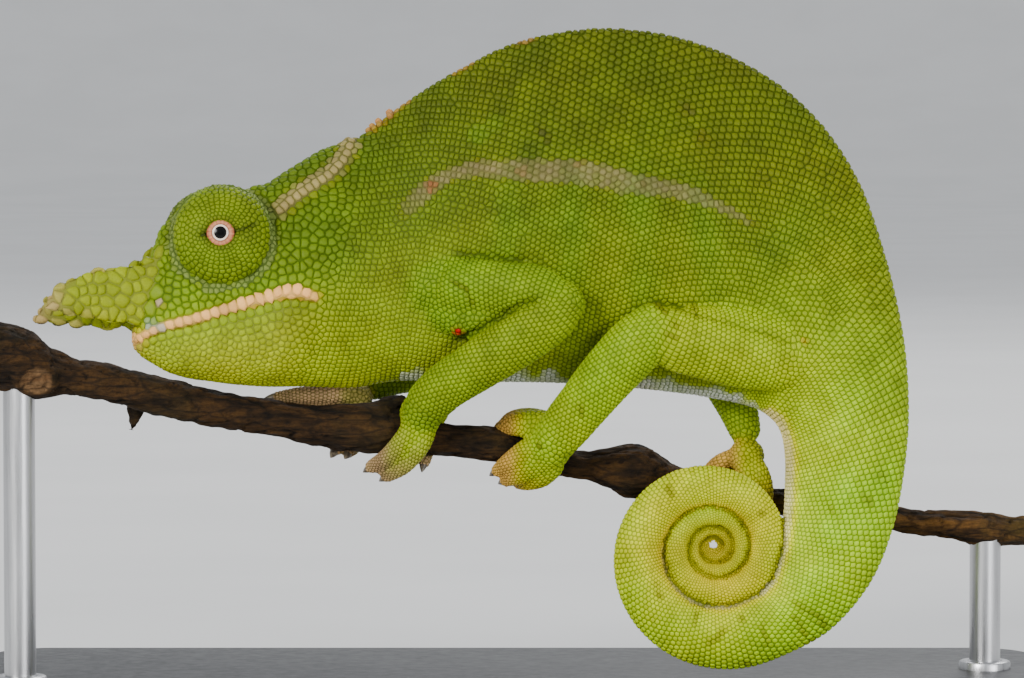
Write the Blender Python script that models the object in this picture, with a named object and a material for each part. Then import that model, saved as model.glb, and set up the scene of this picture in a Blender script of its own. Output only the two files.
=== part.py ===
"""A life-size still model of a two-bladed Malagasy chameleon gripping a cut branch on a display stand.

The animal faces -X with its left side towards -Y. It is one long ladder of sections from the
snout to the tip of the coiled tail, with eight leg pieces, four feet, two eye turrets with
their eyeballs and two snout blades. Tables are in millimetres, and MM turns them into metres.
"""

from math import acos, cos, pi, radians, sin

import bmesh
import bpy
import numpy as np
from mathutils import Matrix, Vector

MM = 0.001
GAP = 0.2  # between neighbouring pieces

# Stand
BASE_LENGTH, BASE_DEPTH, BASE_THICKNESS, BASE_CORNER = 104.0, 50.0, 5.0, 6.0
ROD_RADIUS, ROD_SOCKET = 1.5, 3.0
ROD_X = (-46.4, 45.8)

# Branch: it leans away from -Y towards +X
BRANCH_LEAN = 0.13  # y gained for each mm of x
BRANCH_CROSSES = -10.6  # the x where its axis has y = 0

# Head: turned towards the left side and rolled, about a pivot in the neck
HEAD_TURN, HEAD_ROLL = radians(12), radians(5)
HEAD_PIVOT = Vector((-10.6, 0.0, 41.0))

# Tail coil: its boundary is a logarithmic spiral in the plane of the body
COIL_CENTRE = (19.2, 17.7)
COIL_RADIUS = 11.6
COIL_DECAY = 0.0019  # per degree, clockwise from the lowest point
COIL_FLATTER = 0.07  # by how much the top of each turn is nearer the centre
COIL_END = 1190
COIL_SIDE = -1.6  # y of the coil's middle plane
COIL_SPACE = 0.22  # between one turn and the next

# Sections from the snout to the tail bend: back x, z, belly x, z, y of the middle,
# then half-widths at 15, 50 and 85 % of the way from the back to the belly.
HEAD = (
    (-36.1, 39.6, -36.2, 36.9, 0.0, 0.7, 1.0, 0.9),  # lips
    (-35.4, 42.4, -35.4, 35.9, 0.0, 0.9, 1.9, 1.5),  # snout
    (-34.4, 45.4, -34.3, 35.2, 0.0, 1.2, 2.6, 2.1),
    (-32.9, 48.6, -32.9, 34.4, 0.0, 2.2, 3.3, 2.7),  # brow
    (-31.0, 50.4, -31.0, 33.8, 0.0, 2.7, 3.8, 3.2),
    (-28.7, 51.4, -29.0, 33.5, 0.0, 2.9, 4.2, 3.7),  # eyes
    (-26.2, 51.9, -26.9, 33.2, 0.0, 3.0, 4.6, 4.1),
    (-23.6, 52.1, -24.8, 33.0, 0.0, 3.1, 5.1, 4.4),
    (-20.9, 53.7, -23.0, 32.9, 0.0, 3.2, 5.6, 4.6),  # temple
    (-17.4, 55.7, -21.4, 32.9, 0.0, 3.1, 5.8, 4.7),  # jaw angle
    (-13.8, 57.0, -20.1, 32.9, 0.0, 2.9, 5.7, 4.6),  # casque tip
)
TRUNK = (
    (-10.2, 59.7, -15.2, 32.7, 0.0, 2.6, 5.4, 4.3),  # nape
    (-5.9, 62.5, -10.6, 33.3, 0.0, 2.5, 5.3, 4.0),  # shoulder
    (0.8, 65.7, -4.0, 33.2, 0.0, 2.4, 5.5, 4.0),
    (8.4, 66.9, 3.6, 33.1, 0.0, 2.5, 5.7, 4.1),  # mid body
    (16.0, 66.0, 10.3, 32.7, 0.0, 2.5, 5.6, 4.1),
    (22.8, 63.2, 16.0, 32.1, 0.0, 2.5, 5.2, 3.8),
    (28.5, 58.8, 19.8, 31.5, -0.1, 2.4, 4.7, 3.5),  # pelvis
    (32.7, 52.8, 22.1, 31.0, -0.2, 2.3, 4.3, 3.3),
    (35.3, 45.8, 23.7, 30.4, -0.4, 2.2, 3.9, 3.1),  # vent
    (37.1, 38.2, 25.2, 29.0, -0.6, 2.2, 3.5, 2.9),
    (37.7, 31.5, 25.9, 26.6, -0.8, 2.1, 3.2, 2.7),
    (37.4, 25.7, 26.1, 23.6, -1.0, 2.0, 3.0, 2.5),
    (36.3, 19.7, 26.1, 20.0, -1.2, 1.8, 2.9, 2.3),  # tail bend
    (34.2, 14.4, 25.8, 16.7, -1.4, 1.6, 2.6, 2.1),
    (30.5, 9.9, 24.6, 13.8, -1.5, 1.4, 2.4, 1.9),
)
COIL_START = -33  # degrees, where the ladder runs into the spiral
COIL_STEP = 20

# Snout blade in its own side view: top x, z, bottom x, z, y of the middle, half-thicknesses
BLADE = (
    (-44.8, 40.9, -44.8, 40.2, 2.5, 0.25, 0.3, 0.25),
    (-43.8, 42.5, -43.8, 40.0, 2.4, 0.34, 0.42, 0.34),
    (-42.1, 43.5, -42.1, 39.7, 2.3, 0.38, 0.5, 0.38),
    (-39.8, 44.2, -39.9, 39.2, 2.1, 0.4, 0.55, 0.4),
    (-37.5, 44.5, -37.4, 38.8, 1.8, 0.42, 0.6, 0.42),
    (-35.0, 45.2, -34.9, 39.1, 1.5, 0.42, 0.62, 0.42),
)
BLADE_DROOP = {"left": 0.0, "right": radians(5)}
BLADE_SHIFT = {"left": (0.0, 0.0), "right": (-0.75, -0.15)}

# Eye: a turned turret, whose profile is radius, height along its axis
EYE_CENTRE = (-28.0, 47.1)
EYE_AXIS = (-0.20, 0.97, 0.04)
EYE_FLOOR = 2.9
TURRET = (
    (0.0, -1.2), (3.0, -0.8), (4.6, 0.3), (4.8, 1.1), (4.5, 1.9),
    (3.6, 2.7), (2.6, 3.2), (1.5, 3.4), (1.3, 3.3),
    (1.3, 2.7), (0.0, 2.7),
)
EYEBALL = (
    (0.0, 2.8), (1.1, 2.8), (1.1, 3.0), (0.8, 3.3), (0.0, 3.5),
)

# Where the mouth parts the head, as a share of the way from the top to the chin, for each
# head section; and the first section of the casque with its share of the head's height.
MOUTH = (0.88, 0.76, 0.73, 0.72, 0.70, 0.67, 0.635, 0.60, 0.605, 0.655, 0.69)
CASQUE_FROM, CASQUE_RISE, CASQUE_SHARE = 7.0, 0.5, 0.15

# Legs: x, z, y of the middle line, then the radius in side view and the radius in depth
LEGS = {
    "upper_arm_left": (
        (-7.0, 42.7, -4.0, 2.5, 2.1), (-3.9, 42.6, -5.4, 2.7, 2.2),
        (-0.7, 42.5, -6.4, 2.7, 2.2), (2.4, 41.9, -7.1, 2.7, 2.2),
        (4.4, 41.3, -7.5, 2.0, 1.8),
    ),
    "forearm_left": (
        (5.0, 41.4, -7.6, 2.1, 1.9), (3.4, 39.8, -7.7, 2.6, 2.2),
        (0.3, 37.5, -7.4, 2.6, 2.2), (-3.0, 35.4, -6.6, 2.5, 2.2),
        (-6.2, 33.2, -5.3, 2.3, 2.0), (-8.1, 31.5, -4.2, 2.2, 1.9),
    ),
    "upper_arm_right": (
        (-6.9, 42.3, 4.0, 2.5, 2.1), (-4.8, 40.6, 5.6, 2.6, 2.2),
        (-2.9, 38.6, 6.8, 2.6, 2.2), (-1.5, 37.2, 7.4, 1.9, 1.7),
    ),
    "forearm_right": (
        (-1.2, 36.9, 7.5, 2.1, 1.9), (-2.7, 35.7, 7.6, 2.4, 2.1),
        (-5.6, 34.7, 7.1, 2.3, 2.0), (-8.5, 34.0, 6.2, 2.0, 1.8),
        (-11.1, 33.3, 5.0, 1.6, 1.5), (-13.2, 32.5, 3.9, 1.3, 1.3),
    ),
    "thigh_left": (
        (25.1, 36.3, -3.2, 3.8, 2.5), (21.6, 36.7, -4.4, 3.8, 2.7),
        (18.2, 37.2, -5.4, 3.4, 2.6), (15.4, 37.9, -6.0, 3.2, 2.4),
        (13.8, 38.8, -6.2, 2.2, 1.9),
    ),
    "shank_left": (
        (13.6, 39.0, -6.2, 2.4, 2.1), (11.4, 36.9, -6.1, 2.8, 2.3),
        (8.8, 34.0, -5.4, 2.7, 2.2), (6.5, 31.1, -4.2, 2.5, 2.0),
        (4.6, 28.7, -3.0, 2.4, 1.9),
    ),
    "thigh_right": (
        (26.1, 36.0, 2.4, 3.4, 2.3), (22.3, 38.0, 4.6, 3.2, 2.5),
        (19.1, 40.2, 6.0, 2.9, 2.4), (17.7, 40.9, 6.5, 1.9, 1.7),
    ),
    "shank_right": (
        (17.3, 41.1, 6.6, 2.2, 2.0), (18.5, 37.8, 7.0, 2.5, 2.2),
        (20.1, 34.0, 6.6, 2.4, 2.1), (21.6, 30.7, 5.6, 2.0, 1.8),
        (22.4, 28.3, 4.8, 1.6, 1.5),
    ),
}

# Feet: the palm as x, z, y, radii; then toes as x, z, y, radius from root to tip. A claw
# goes on from each tip.
FEET = {
    "hand_left": {
        "palm": (-8.6, 30.5, -2.5, 2.0, 1.9),
        "toes": (
            (
                (-9.1, 30.0, -3.0, 1.0), (-10.1, 28.2, -3.1, 1.0),
                (-11.7, 26.4, -2.3, 0.9), (-13.4, 25.2, -0.7, 0.7),
            ),
            (
                (-7.9, 29.8, -2.8, 1.1), (-8.7, 27.6, -3.0, 1.1),
                (-10.2, 25.5, -2.0, 0.9), (-11.9, 24.3, -0.3, 0.7),
            ),
            (
                (-9.1, 30.8, -0.2, 1.0), (-10.2, 30.1, 2.2, 1.0),
                (-10.9, 27.9, 3.4, 0.9), (-11.4, 25.8, 2.2, 0.7),
            ),
            ((-8.1, 30.6, 0.0, 1.0), (-8.9, 29.7, 2.4, 1.0), (-9.5, 27.5, 3.3, 0.9), (-9.9, 25.7, 2.0, 0.7)),
            ((-7.0, 30.2, 0.0, 1.0), (-7.6, 29.3, 2.4, 1.0), (-8.0, 27.3, 3.2, 0.9), (-8.4, 25.5, 1.8, 0.7)),
        ),
    },
    "hand_right": {
        "palm": (-14.9, 31.5, 2.4, 1.5, 1.4),
        "toes": (
            (
                (-15.8, 32.0, 1.4, 0.9), (-18.3, 32.1, 0.5, 0.9),
                (-20.5, 32.0, 0.2, 0.8), (-22.4, 31.8, 0.1, 0.6),
            ),
            (
                (-15.9, 31.3, 2.2, 0.9), (-18.1, 31.2, 1.4, 0.9),
                (-20.3, 31.1, 1.1, 0.8), (-22.0, 30.9, 1.0, 0.6),
            ),
            (
                (-15.5, 30.4, 2.6, 0.9), (-17.7, 30.2, 1.9, 0.9),
                (-19.8, 30.1, 1.6, 0.8), (-21.4, 29.9, 1.4, 0.6),
            ),
            (
                (-15.5, 30.6, 3.0, 0.9), (-15.9, 28.6, 3.2, 0.9),
                (-16.4, 27.4, 2.4, 0.9), (-16.9, 26.6, 1.0, 0.6),
            ),
            (
                (-14.4, 30.4, 3.2, 0.9), (-14.7, 28.4, 3.6, 0.9),
                (-15.1, 27.1, 2.8, 0.9), (-15.6, 26.4, 1.3, 0.6),
            ),
        ),
    },
    "foot_left": {
        "palm": (3.8, 27.5, -1.6, 2.4, 1.9),
        "toes": (
            ((3.1, 27.7, -1.8, 1.2), (1.3, 26.7, -1.5, 1.2), (-0.3, 25.6, -1.0, 1.0), (-1.4, 24.8, 0.1, 0.7)),
            ((3.5, 26.3, -1.6, 1.2), (2.0, 25.3, -1.2, 1.2), (0.5, 24.4, -0.4, 1.0), (-0.6, 23.8, 0.9, 0.7)),
            ((3.9, 25.3, -1.2, 1.1), (2.8, 24.3, -0.6, 1.1), (1.5, 23.7, 0.6, 0.9), (0.6, 23.5, 1.9, 0.7)),
            ((3.6, 29.3, -0.4, 1.2), (1.5, 29.6, 0.8, 1.2), (-0.3, 29.1, 2.4, 1.0), (-1.1, 27.0, 4.0, 0.7)),
            ((4.2, 28.2, 1.0, 1.2), (2.5, 28.3, 2.6, 1.2), (1.0, 27.4, 4.0, 1.0), (0.4, 25.5, 4.1, 0.7)),
        ),
    },
    "foot_right": {
        "palm": (22.5, 25.9, 3.9, 1.7, 1.5),
        "toes": (
            ((23.2, 25.4, 2.9, 0.9), (23.9, 24.1, 2.2, 0.9), (24.2, 22.4, 2.2, 0.9), (24.2, 20.9, 3.3, 0.6)),
            ((22.0, 25.4, 2.9, 0.9), (22.4, 23.9, 2.0, 0.9), (22.6, 22.2, 2.1, 0.9), (22.6, 20.9, 3.3, 0.6)),
            ((21.7, 25.9, 4.2, 0.9), (20.2, 25.3, 4.6, 0.9), (19.2, 24.2, 5.6, 0.9), (18.9, 22.7, 5.9, 0.6)),
            ((22.1, 25.4, 5.0, 0.9), (20.9, 24.4, 6.0, 0.9), (20.3, 23.0, 6.4, 0.9), (20.2, 21.5, 5.6, 0.6)),
            ((22.7, 25.2, 5.2, 0.9), (22.0, 23.8, 6.4, 0.9), (21.6, 22.4, 6.6, 0.9), (21.8, 21.1, 5.6, 0.6)),
        ),
    },
}
CLAW = ((0.5, 0.33), (1.15, 0.12))  # reach past the toe, radius
CAP_ANGLE = radians(55)  # of the ring that rounds off the end of a limb

# Branch: x, z of its axis and its radius, from the thick end to the thin one
BRANCH = (
    (-50.0, 36.1, 3.5), (-47.2, 35.7, 3.3), (-44.4, 34.6, 2.8), (-41.9, 34.1, 2.0),
    (-37.9, 33.3, 1.9), (-33.1, 32.0, 1.9), (-28.2, 31.0, 1.9), (-23.1, 30.0, 1.9),
    (-18.4, 29.2, 2.1), (-15.4, 28.9, 2.4), (-12.5, 28.8, 2.4), (-9.5, 28.3, 2.0),
    (-6.9, 27.8, 1.7), (-1.7, 27.2, 1.7), (3.2, 25.9, 1.6), (6.5, 25.2, 1.4),
    (9.0, 24.9, 1.9), (11.6, 24.5, 2.7), (14.2, 23.6, 2.2), (17.1, 23.0, 1.6),
    (25.8, 21.5, 1.4), (37.4, 19.5, 1.3), (42.3, 19.0, 1.5), (45.8, 18.5, 1.8),
    (48.2, 18.4, 1.6), (51.6, 18.2, 1.6),
)
STUB = ((-12.7, 30.2, 0.2, 1.3), (-11.4, 31.1, -0.2, 1.1), (-10.5, 31.6, -0.5, 0.8))
THORN = ((-35.7, 31.0, -1.2, 1.0), (-35.9, 29.7, -1.6, 0.6), (-36.1, 28.6, -1.8, 0.2))

GREEN, YELLOW, PALE, PINK = (0.30, 0.42, 0.03), (0.46, 0.48, 0.05), (0.55, 0.47, 0.3), (0.6, 0.4, 0.3)
IRIS, BARK, BLACK, STEEL = (0.7, 0.45, 0.38), (0.09, 0.05, 0.025), (0.03, 0.03, 0.033), (0.5, 0.5, 0.52)


def clear_scene():
    for thing in list(bpy.data.objects):
        bpy.data.objects.remove(thing, do_unlink=True)


def collection(name, hidden=False):
    group = bpy.data.collections.new(name)
    group.hide_render = hidden
    bpy.context.scene.collection.children.link(group)
    return group


def material(name, colour, roughness=0.6, metallic=0.0):
    made = bpy.data.materials.new(name)
    made.use_nodes = True
    shader = made.node_tree.nodes["Principled BSDF"]
    shader.inputs["Base Color"].default_value = (*colour, 1.0)
    shader.inputs["Roughness"].default_value = roughness
    shader.inputs["Metallic"].default_value = metallic
    return made


def smooth(rows, t):
    """The point at t, from 0 to len(rows) - 1, of a Catmull-Rom curve through the rows."""
    rows = np.asarray(rows, float)
    last = len(rows) - 1
    i = min(int(t), last - 1)
    f = t - i
    b, c = rows[i], rows[i + 1]
    a = rows[i - 1] if i else 2 * b - c
    d = rows[i + 2] if i + 2 <= last else 2 * c - b
    return 0.5 * (2 * b + (c - a) * f + (2 * a - 5 * b + 4 * c - d) * f**2 + (3 * b - a - 3 * c + d) * f**3)


def coil_boundary(angle):
    squash = 1 - COIL_FLATTER * (1 - cos(radians(angle))) / 2
    return COIL_RADIUS * squash * np.exp(-COIL_DECAY * angle)


def coil_row(angle):
    """A ladder section across the tail, this many degrees into the spiral."""
    outer = coil_boundary(angle) - COIL_SPACE / 2
    inner = max(coil_boundary(angle + 360) + COIL_SPACE / 2, 0.0)
    taper = min(1.0, (COIL_END + 25 - angle) / 160)
    middle, half = (outer + inner) / 2, (outer - inner) / 2 * taper
    outer, inner = middle + half, middle - half
    turn = radians(angle)
    across = (-sin(turn), -cos(turn))
    depth = half * (0.68 + 0.32 * min(1.0, max(0.0, angle) / 700))
    points = [COIL_CENTRE[i] + across[i] * r for r in (outer, inner) for i in (0, 1)]
    return (*points, COIL_SIDE, 0.66 * depth, depth, 0.7 * depth)


COIL = tuple(coil_row(angle) for angle in range(COIL_START, COIL_END + 1, COIL_STEP))
LADDER = HEAD + TRUNK + COIL
CASQUE_TIP = len(HEAD) - 1
SHOULDER = CASQUE_TIP + 2
COIL_FIRST = len(HEAD) + len(TRUNK)


def half_width(share, widths):
    """Half-width at a share of the height: an ellipse scaled by a curve through three widths."""
    nodes = (0.15, 0.5, 0.85)
    full = 0.0
    for i, node in enumerate(nodes):
        term = widths[i] / (2 * np.sqrt(node * (1 - node)))
        for other in nodes:
            if other != node:
                term *= (share - other) / (node - other)
        full += term
    return 2 * np.sqrt(max(share * (1 - share), 0.0)) * max(full, 0.02)


def head_pose(point):
    """A point of the straight head, rolled and turned about the neck."""
    turn = Matrix.Rotation(HEAD_TURN, 3, "Z") @ Matrix.Rotation(-HEAD_ROLL, 3, "X")
    return HEAD_PIVOT + turn @ (Vector(point) - HEAD_PIVOT)


def bend(point, t):
    """The head pose, fading out along the neck."""
    part = min(1.0, max(0.0, (SHOULDER - t) / (SHOULDER - CASQUE_TIP)))
    part = part * part * (3 - 2 * part)
    return Vector(point).lerp(head_pose(point), part) if part else Vector(point)


def ring(t, count, low=0.0, high=1.0, grow=0.0):
    """A closed ring at ladder place t, between two shares of its height."""
    x0, z0, x1, z1, side, *widths = smooth(LADDER, t)
    back, belly = Vector((x0, side, z0)), Vector((x1, side, z1))
    widths = [w + grow for w in widths]
    start, end = acos(1 - 2 * low), acos(1 - 2 * high)
    shares = [(1 - cos(start + (end - start) * k / count)) / 2 for k in range(count + 1)]
    halves = [half_width(share, widths) for share in shares]
    near = [back.lerp(belly, s) - Vector((0, h, 0)) for s, h in zip(shares, halves)]
    far = [back.lerp(belly, s) + Vector((0, h, 0)) for s, h in zip(shares, halves)]
    return [bend(p, t) for p in near + far[::-1]]


def loft(name, rings):
    """A closed mesh through rings of the same length, its ends closed by fans."""
    mesh = bpy.data.meshes.new(name)
    made = bmesh.new()
    rows = [[made.verts.new(Vector(p) * MM) for p in one] for one in rings]
    for row, nxt in zip(rows, rows[1:]):
        for k in range(len(row)):
            made.faces.new((row[k], row[k - 1], nxt[k - 1], nxt[k]))
    for row, order in ((rows[0], 1), (rows[-1], -1)):
        hub = made.verts.new(sum((v.co for v in row), Vector()) / len(row))
        for k in range(len(row)):
            made.faces.new((row[k - 1], row[k], hub)[::order])
    bmesh.ops.remove_doubles(made, verts=made.verts, dist=1e-8)
    bmesh.ops.triangulate(made, faces=made.faces)
    bmesh.ops.recalc_face_normals(made, faces=made.faces)
    made.to_mesh(mesh)
    made.free()
    return bpy.data.objects.new(name, mesh)


def body_length(name, start, end, steps, count, **shape):
    places = [start + (end - start) * i / steps for i in range(steps + 1)]
    return loft(name, [ring(t, count, **shape) for t in places])


def limb_rings(rows, steps, sides, grow=0.0, close_start=True, close_end=True):
    """Elliptical rings across a path of x, z, y, side-view radius and depth radius, with
    rounded ends."""
    last = len(rows) - 1
    places = [last * i / steps for i in range(steps + 1)]
    values = [smooth(rows, t) for t in places]
    spine = [Vector((v[0], v[2], v[1])) for v in values]
    radii = [(v[3] + grow, v[4] + grow) for v in values]
    tangents = []
    for i in range(len(spine)):
        tangents.append((spine[min(i + 1, steps)] - spine[max(i - 1, 0)]).normalized())
    rings = []

    def cap(i, way):
        out, shrink = sin(CAP_ANGLE), cos(CAP_ANGLE)
        centre = spine[i] + tangents[i] * way * out * min(radii[i]) * 0.8
        return [(centre, tangents[i], tuple(r * shrink for r in radii[i]))]

    body = list(zip(spine, tangents, radii))
    if close_start:
        body = cap(0, -1) + body
    if close_end:
        body = body + cap(steps, 1)
    for centre, along, (wide, deep) in body:
        across = Vector((0, 1, 0)).cross(along).normalized()
        depth = along.cross(across)
        points = []
        for k in range(sides):
            turn = 2 * pi * k / sides
            points.append(centre + across * wide * cos(turn) + depth * deep * sin(turn))
        rings.append(points)
    return rings


def turned(name, profile, segments, pose):
    """A profile of radius, height turned about its axis and placed by the pose matrix."""
    rings = []
    for radius, height in profile[1:-1]:
        angles = [2 * pi * k / segments for k in range(segments)]
        rings.append([pose @ Vector((radius * cos(a), radius * sin(a), height)) for a in angles])
    made = loft(name, rings)
    ends = (pose @ Vector((0, 0, profile[0][1])), pose @ Vector((0, 0, profile[-1][1])))
    hubs = list(made.data.vertices)[-2:]
    for hub, end in zip(hubs, ends):
        hub.co = end * MM
    return made


def eye_pose(side):
    """Where the turret's axis starts inside the skull, and its direction, in the posed head."""
    way = -1 if side == "left" else 1
    start = Vector((EYE_CENTRE[0], way * EYE_FLOOR, EYE_CENTRE[1]))
    axis = Vector((EYE_AXIS[0], way * EYE_AXIS[1], EYE_AXIS[2]))
    start, tip = head_pose(start), head_pose(start + axis)
    return Matrix.Translation(start) @ (tip - start).to_track_quat("Z", "Y").to_matrix().to_4x4()


def blade_rings(side, grow=0.0):
    way = -1 if side == "left" else 1
    root = BLADE[-1]
    rings = []
    steps = 7
    for i in range(steps + 1):
        x0, z0, x1, z1, middle, *halves = smooth(BLADE, (len(BLADE) - 1) * i / steps)
        points = []
        for k in range(10):
            turn = 2 * pi * k / 10
            share = (1 - cos(turn)) / 2
            half = (0.55 + 0.45 * abs(sin(turn))) * np.interp(share, (0.15, 0.5, 0.85), halves) + grow
            y = way * middle + half * np.sign(sin(turn)) * min(1.0, 1.6 * abs(sin(turn)))
            x, z = x0 + (x1 - x0) * share, z0 + (z1 - z0) * share
            droop, shift = BLADE_DROOP[side], BLADE_SHIFT[side]
            dx, dz = x - root[0], z - root[1]
            x = root[0] + dx * cos(droop) - dz * sin(droop) + shift[0]
            z = root[1] + dz * cos(droop) + dx * sin(droop) + shift[1]
            points.append(head_pose((x, y, z)))
        rings.append(points)
    return rings


def branch_rings(grow=0.0, sides=9, steps=34):
    rows = [(x, z, BRANCH_LEAN * (x - BRANCH_CROSSES), r + grow, r + grow) for x, z, r in BRANCH]
    return limb_rings(rows, steps, sides, close_start=False, close_end=False)


def branch_height(x):
    """Height of the branch's axis over x."""
    return float(np.interp(x, [row[0] for row in BRANCH], [row[1] for row in BRANCH]))


class Model:
    """Collects the parts and the hidden cutters."""

    def __init__(self):
        self.parts = collection("chameleon")
        self.cutters = collection("cutters", hidden=True)
        self.cutter_names = {}

    def keep(self, thing, look):
        thing.data.materials.append(look)
        thing.data.shade_smooth()
        thing.data.set_sharp_from_angle(angle=radians(50))
        self.parts.objects.link(thing)
        return thing

    def cutter(self, thing):
        thing.hide_render = True
        thing.display_type = "WIRE"
        self.cutters.objects.link(thing)
        return thing

    def boolean(self, thing, operation, other):
        change = thing.modifiers.new(operation.lower(), "BOOLEAN")
        change.operation = operation
        change.object = other
        change.solver = "EXACT"


def add_trunk(model, looks):
    pieces = (
        ("neck", CASQUE_TIP, SHOULDER, 3),
        ("trunk_front", SHOULDER, SHOULDER + 3, 5),
        ("trunk_rear", SHOULDER + 3, SHOULDER + 7, 7),
        ("tail_base", SHOULDER + 7, SHOULDER + 10, 5),
        ("tail_bend", SHOULDER + 10, COIL_FIRST + 2, 7),
    )
    for name, start, end, steps in pieces:
        look = looks["tail"] if name.startswith("tail") else looks["flank"]
        model.keep(body_length(name, start + 0.03, end, steps, 8), look)
    turns = (
        ("tail_coil_outer", COIL_FIRST + 2, COIL_FIRST + 17, 17, 4),
        ("tail_coil_middle", COIL_FIRST + 17, COIL_FIRST + 35, 18, 4),
        ("tail_coil_inner", COIL_FIRST + 35, len(LADDER) - 1, 20, 3),
    )
    for name, start, end, steps, count in turns:
        model.keep(body_length(name, start + 0.08, end, steps, count), looks["tail"])


def head_part(name, places, count, low, high):
    """A length of the head between two shares of its height, each a function of the place."""
    return loft(name, [ring(t, count, low=low(t), high=high(t)) for t in places])


def height(t):
    x0, z0, x1, z1 = smooth(LADDER, t)[:4]
    return ((x1 - x0) ** 2 + (z1 - z0) ** 2) ** 0.5


def add_head(model, looks):
    tip = CASQUE_TIP - 0.02

    def mouth(t):
        return float(smooth([[m] for m in MOUTH], t)[0])

    def lip(t):
        return mouth(t) - GAP / 2 / height(t)

    def jaw_edge(t):
        return mouth(t) + GAP / 2 / height(t)

    def top(t):
        return CASQUE_SHARE * min(1.0, max(0.0, (t - CASQUE_FROM) / CASQUE_RISE))

    def casque_low(t):
        return top(t) - GAP / height(t)

    behind = list(np.linspace(CASQUE_FROM + CASQUE_RISE, tip, 5))
    front = list(np.linspace(0.0, CASQUE_FROM, 11))
    cranium = head_part("cranium", front + behind, 7, top, lip)
    jaw = head_part("lower_jaw", list(np.linspace(0.0, tip, 15)), 5, jaw_edge, lambda t: 1.0)
    first = CASQUE_FROM + CASQUE_RISE / 4
    casque = head_part("casque", [first, *behind], 4, lambda t: 0.0, casque_low)
    model.keep(cranium, looks["flank"])
    model.keep(jaw, looks["flank"])
    model.keep(casque, looks["flank"])
    whole = model.cutter(body_length("head_space", 0.0, CASQUE_TIP, 14, 9, grow=GAP))
    for side in ("left", "right"):
        pose = eye_pose(side)
        model.keep(turned(f"eye_turret_{side}", TURRET, 16, pose), looks["flank"])
        model.keep(turned(f"eyeball_{side}", EYEBALL, 14, pose), looks["iris"])
        behind = [(r + GAP if r else 0.0, h - GAP) for r, h in TURRET[:3]]
        rim = [(r + GAP, h) for r, h in TURRET[3:6]]
        top = TURRET[7][1] + 1.0
        outline = [*behind, *rim, (rim[-1][0], top), (0.0, top)]
        space = model.cutter(turned(f"turret_space_{side}", outline, 16, pose))
        model.boolean(cranium, "DIFFERENCE", space)
        model.boolean(jaw, "DIFFERENCE", space)
        blade = model.keep(loft(f"rostral_blade_{side}", blade_rings(side)), looks["blade"])
        model.boolean(blade, "DIFFERENCE", whole)


def add_limbs(model, looks):
    body = body_length("body_space", CASQUE_TIP - 4, SHOULDER + 9, 22, 8, grow=GAP)
    body = model.cutter(body)
    made = {}
    for name, rows in LEGS.items():
        made[name] = model.keep(loft(name, limb_rings(rows, 5, 10)), looks["limb"])
        model.boolean(made[name], "DIFFERENCE", body)
    for side in ("left", "right"):
        for first, second in (("upper_arm", "forearm"), ("thigh", "shank")):
            rings = limb_rings(LEGS[f"{second}_{side}"], 5, 10, grow=GAP)
            space = model.cutter(loft(f"{second}_{side}_space", rings))
            model.boolean(made[f"{first}_{side}"], "DIFFERENCE", space)
    return made


def with_claw(toe, grow):
    """The rows of a toe, carried on into a small claw."""
    rows = [(x, z, y, r + grow, r + grow) for x, z, y, r in toe]
    before, tip = np.array(toe[-2][:3]), np.array(toe[-1][:3])
    along = (tip - before) / np.linalg.norm(tip - before)
    for reach, radius in CLAW:
        rows.append((*(tip + along * reach), radius + grow, radius + grow))
    return rows


def foot(name, shape, grow=0.0):
    """The palm and the toes of one foot, as separate closed meshes to be joined."""
    x, z, y, wide, deep = shape["palm"]
    rows = [(x - 0.4, z + 0.1, y, wide + grow, deep + grow), (x + 0.4, z - 0.1, y, wide + grow, deep + grow)]
    yield loft(f"{name}_palm", limb_rings(rows, 1, 9))
    for i, toe in enumerate(shape["toes"]):
        rows = with_claw(toe, grow)
        yield loft(f"{name}_toe_{i}", limb_rings(rows, len(rows) - 1, 6, close_end=False))


def add_feet(model, looks, limbs, branch_space):
    for name, shape in FEET.items():
        kind, side = name.split("_")
        limb = limbs[("forearm_" if kind == "hand" else "shank_") + side]
        pieces = list(foot(name, shape))
        palm = pieces[0]
        palm.name = name
        model.keep(palm, looks["limb"])
        for piece in pieces[1:]:
            model.boolean(palm, "UNION", model.cutter(piece))
        model.boolean(palm, "DIFFERENCE", branch_space)
        model.boolean(limb, "DIFFERENCE", branch_space)
        space = list(foot(f"{name}_space", shape, grow=GAP))
        for piece in space:
            model.boolean(limb, "DIFFERENCE", model.cutter(piece))


def add_perch(model, looks):
    """The branch with its stub and thorn, and the same shape grown by the gap as a cutter."""
    perch = model.keep(loft("perch", branch_rings()), looks["bark"])
    space = model.cutter(loft("branch_space", branch_rings(grow=GAP)))
    for branch, grow in ((perch, 0.0), (space, GAP)):
        for name, rows in (("stub", STUB), ("thorn", THORN)):
            path = [(x, z, y, r, r) for x, z, y, r in rows]
            twig = model.cutter(loft(f"{branch.name}_{name}", limb_rings(path, 3, 6, grow=grow)))
            model.boolean(branch, "UNION", twig)
    return space


def cylinder(name, radius, low, high, x, y, sides=16):
    angles = [2 * pi * k / sides for k in range(sides)]
    circle = [(x + radius * cos(a), y + radius * sin(a)) for a in angles]
    return loft(name, [[Vector((*point, z)) for point in circle] for z in (low, high)])


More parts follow.
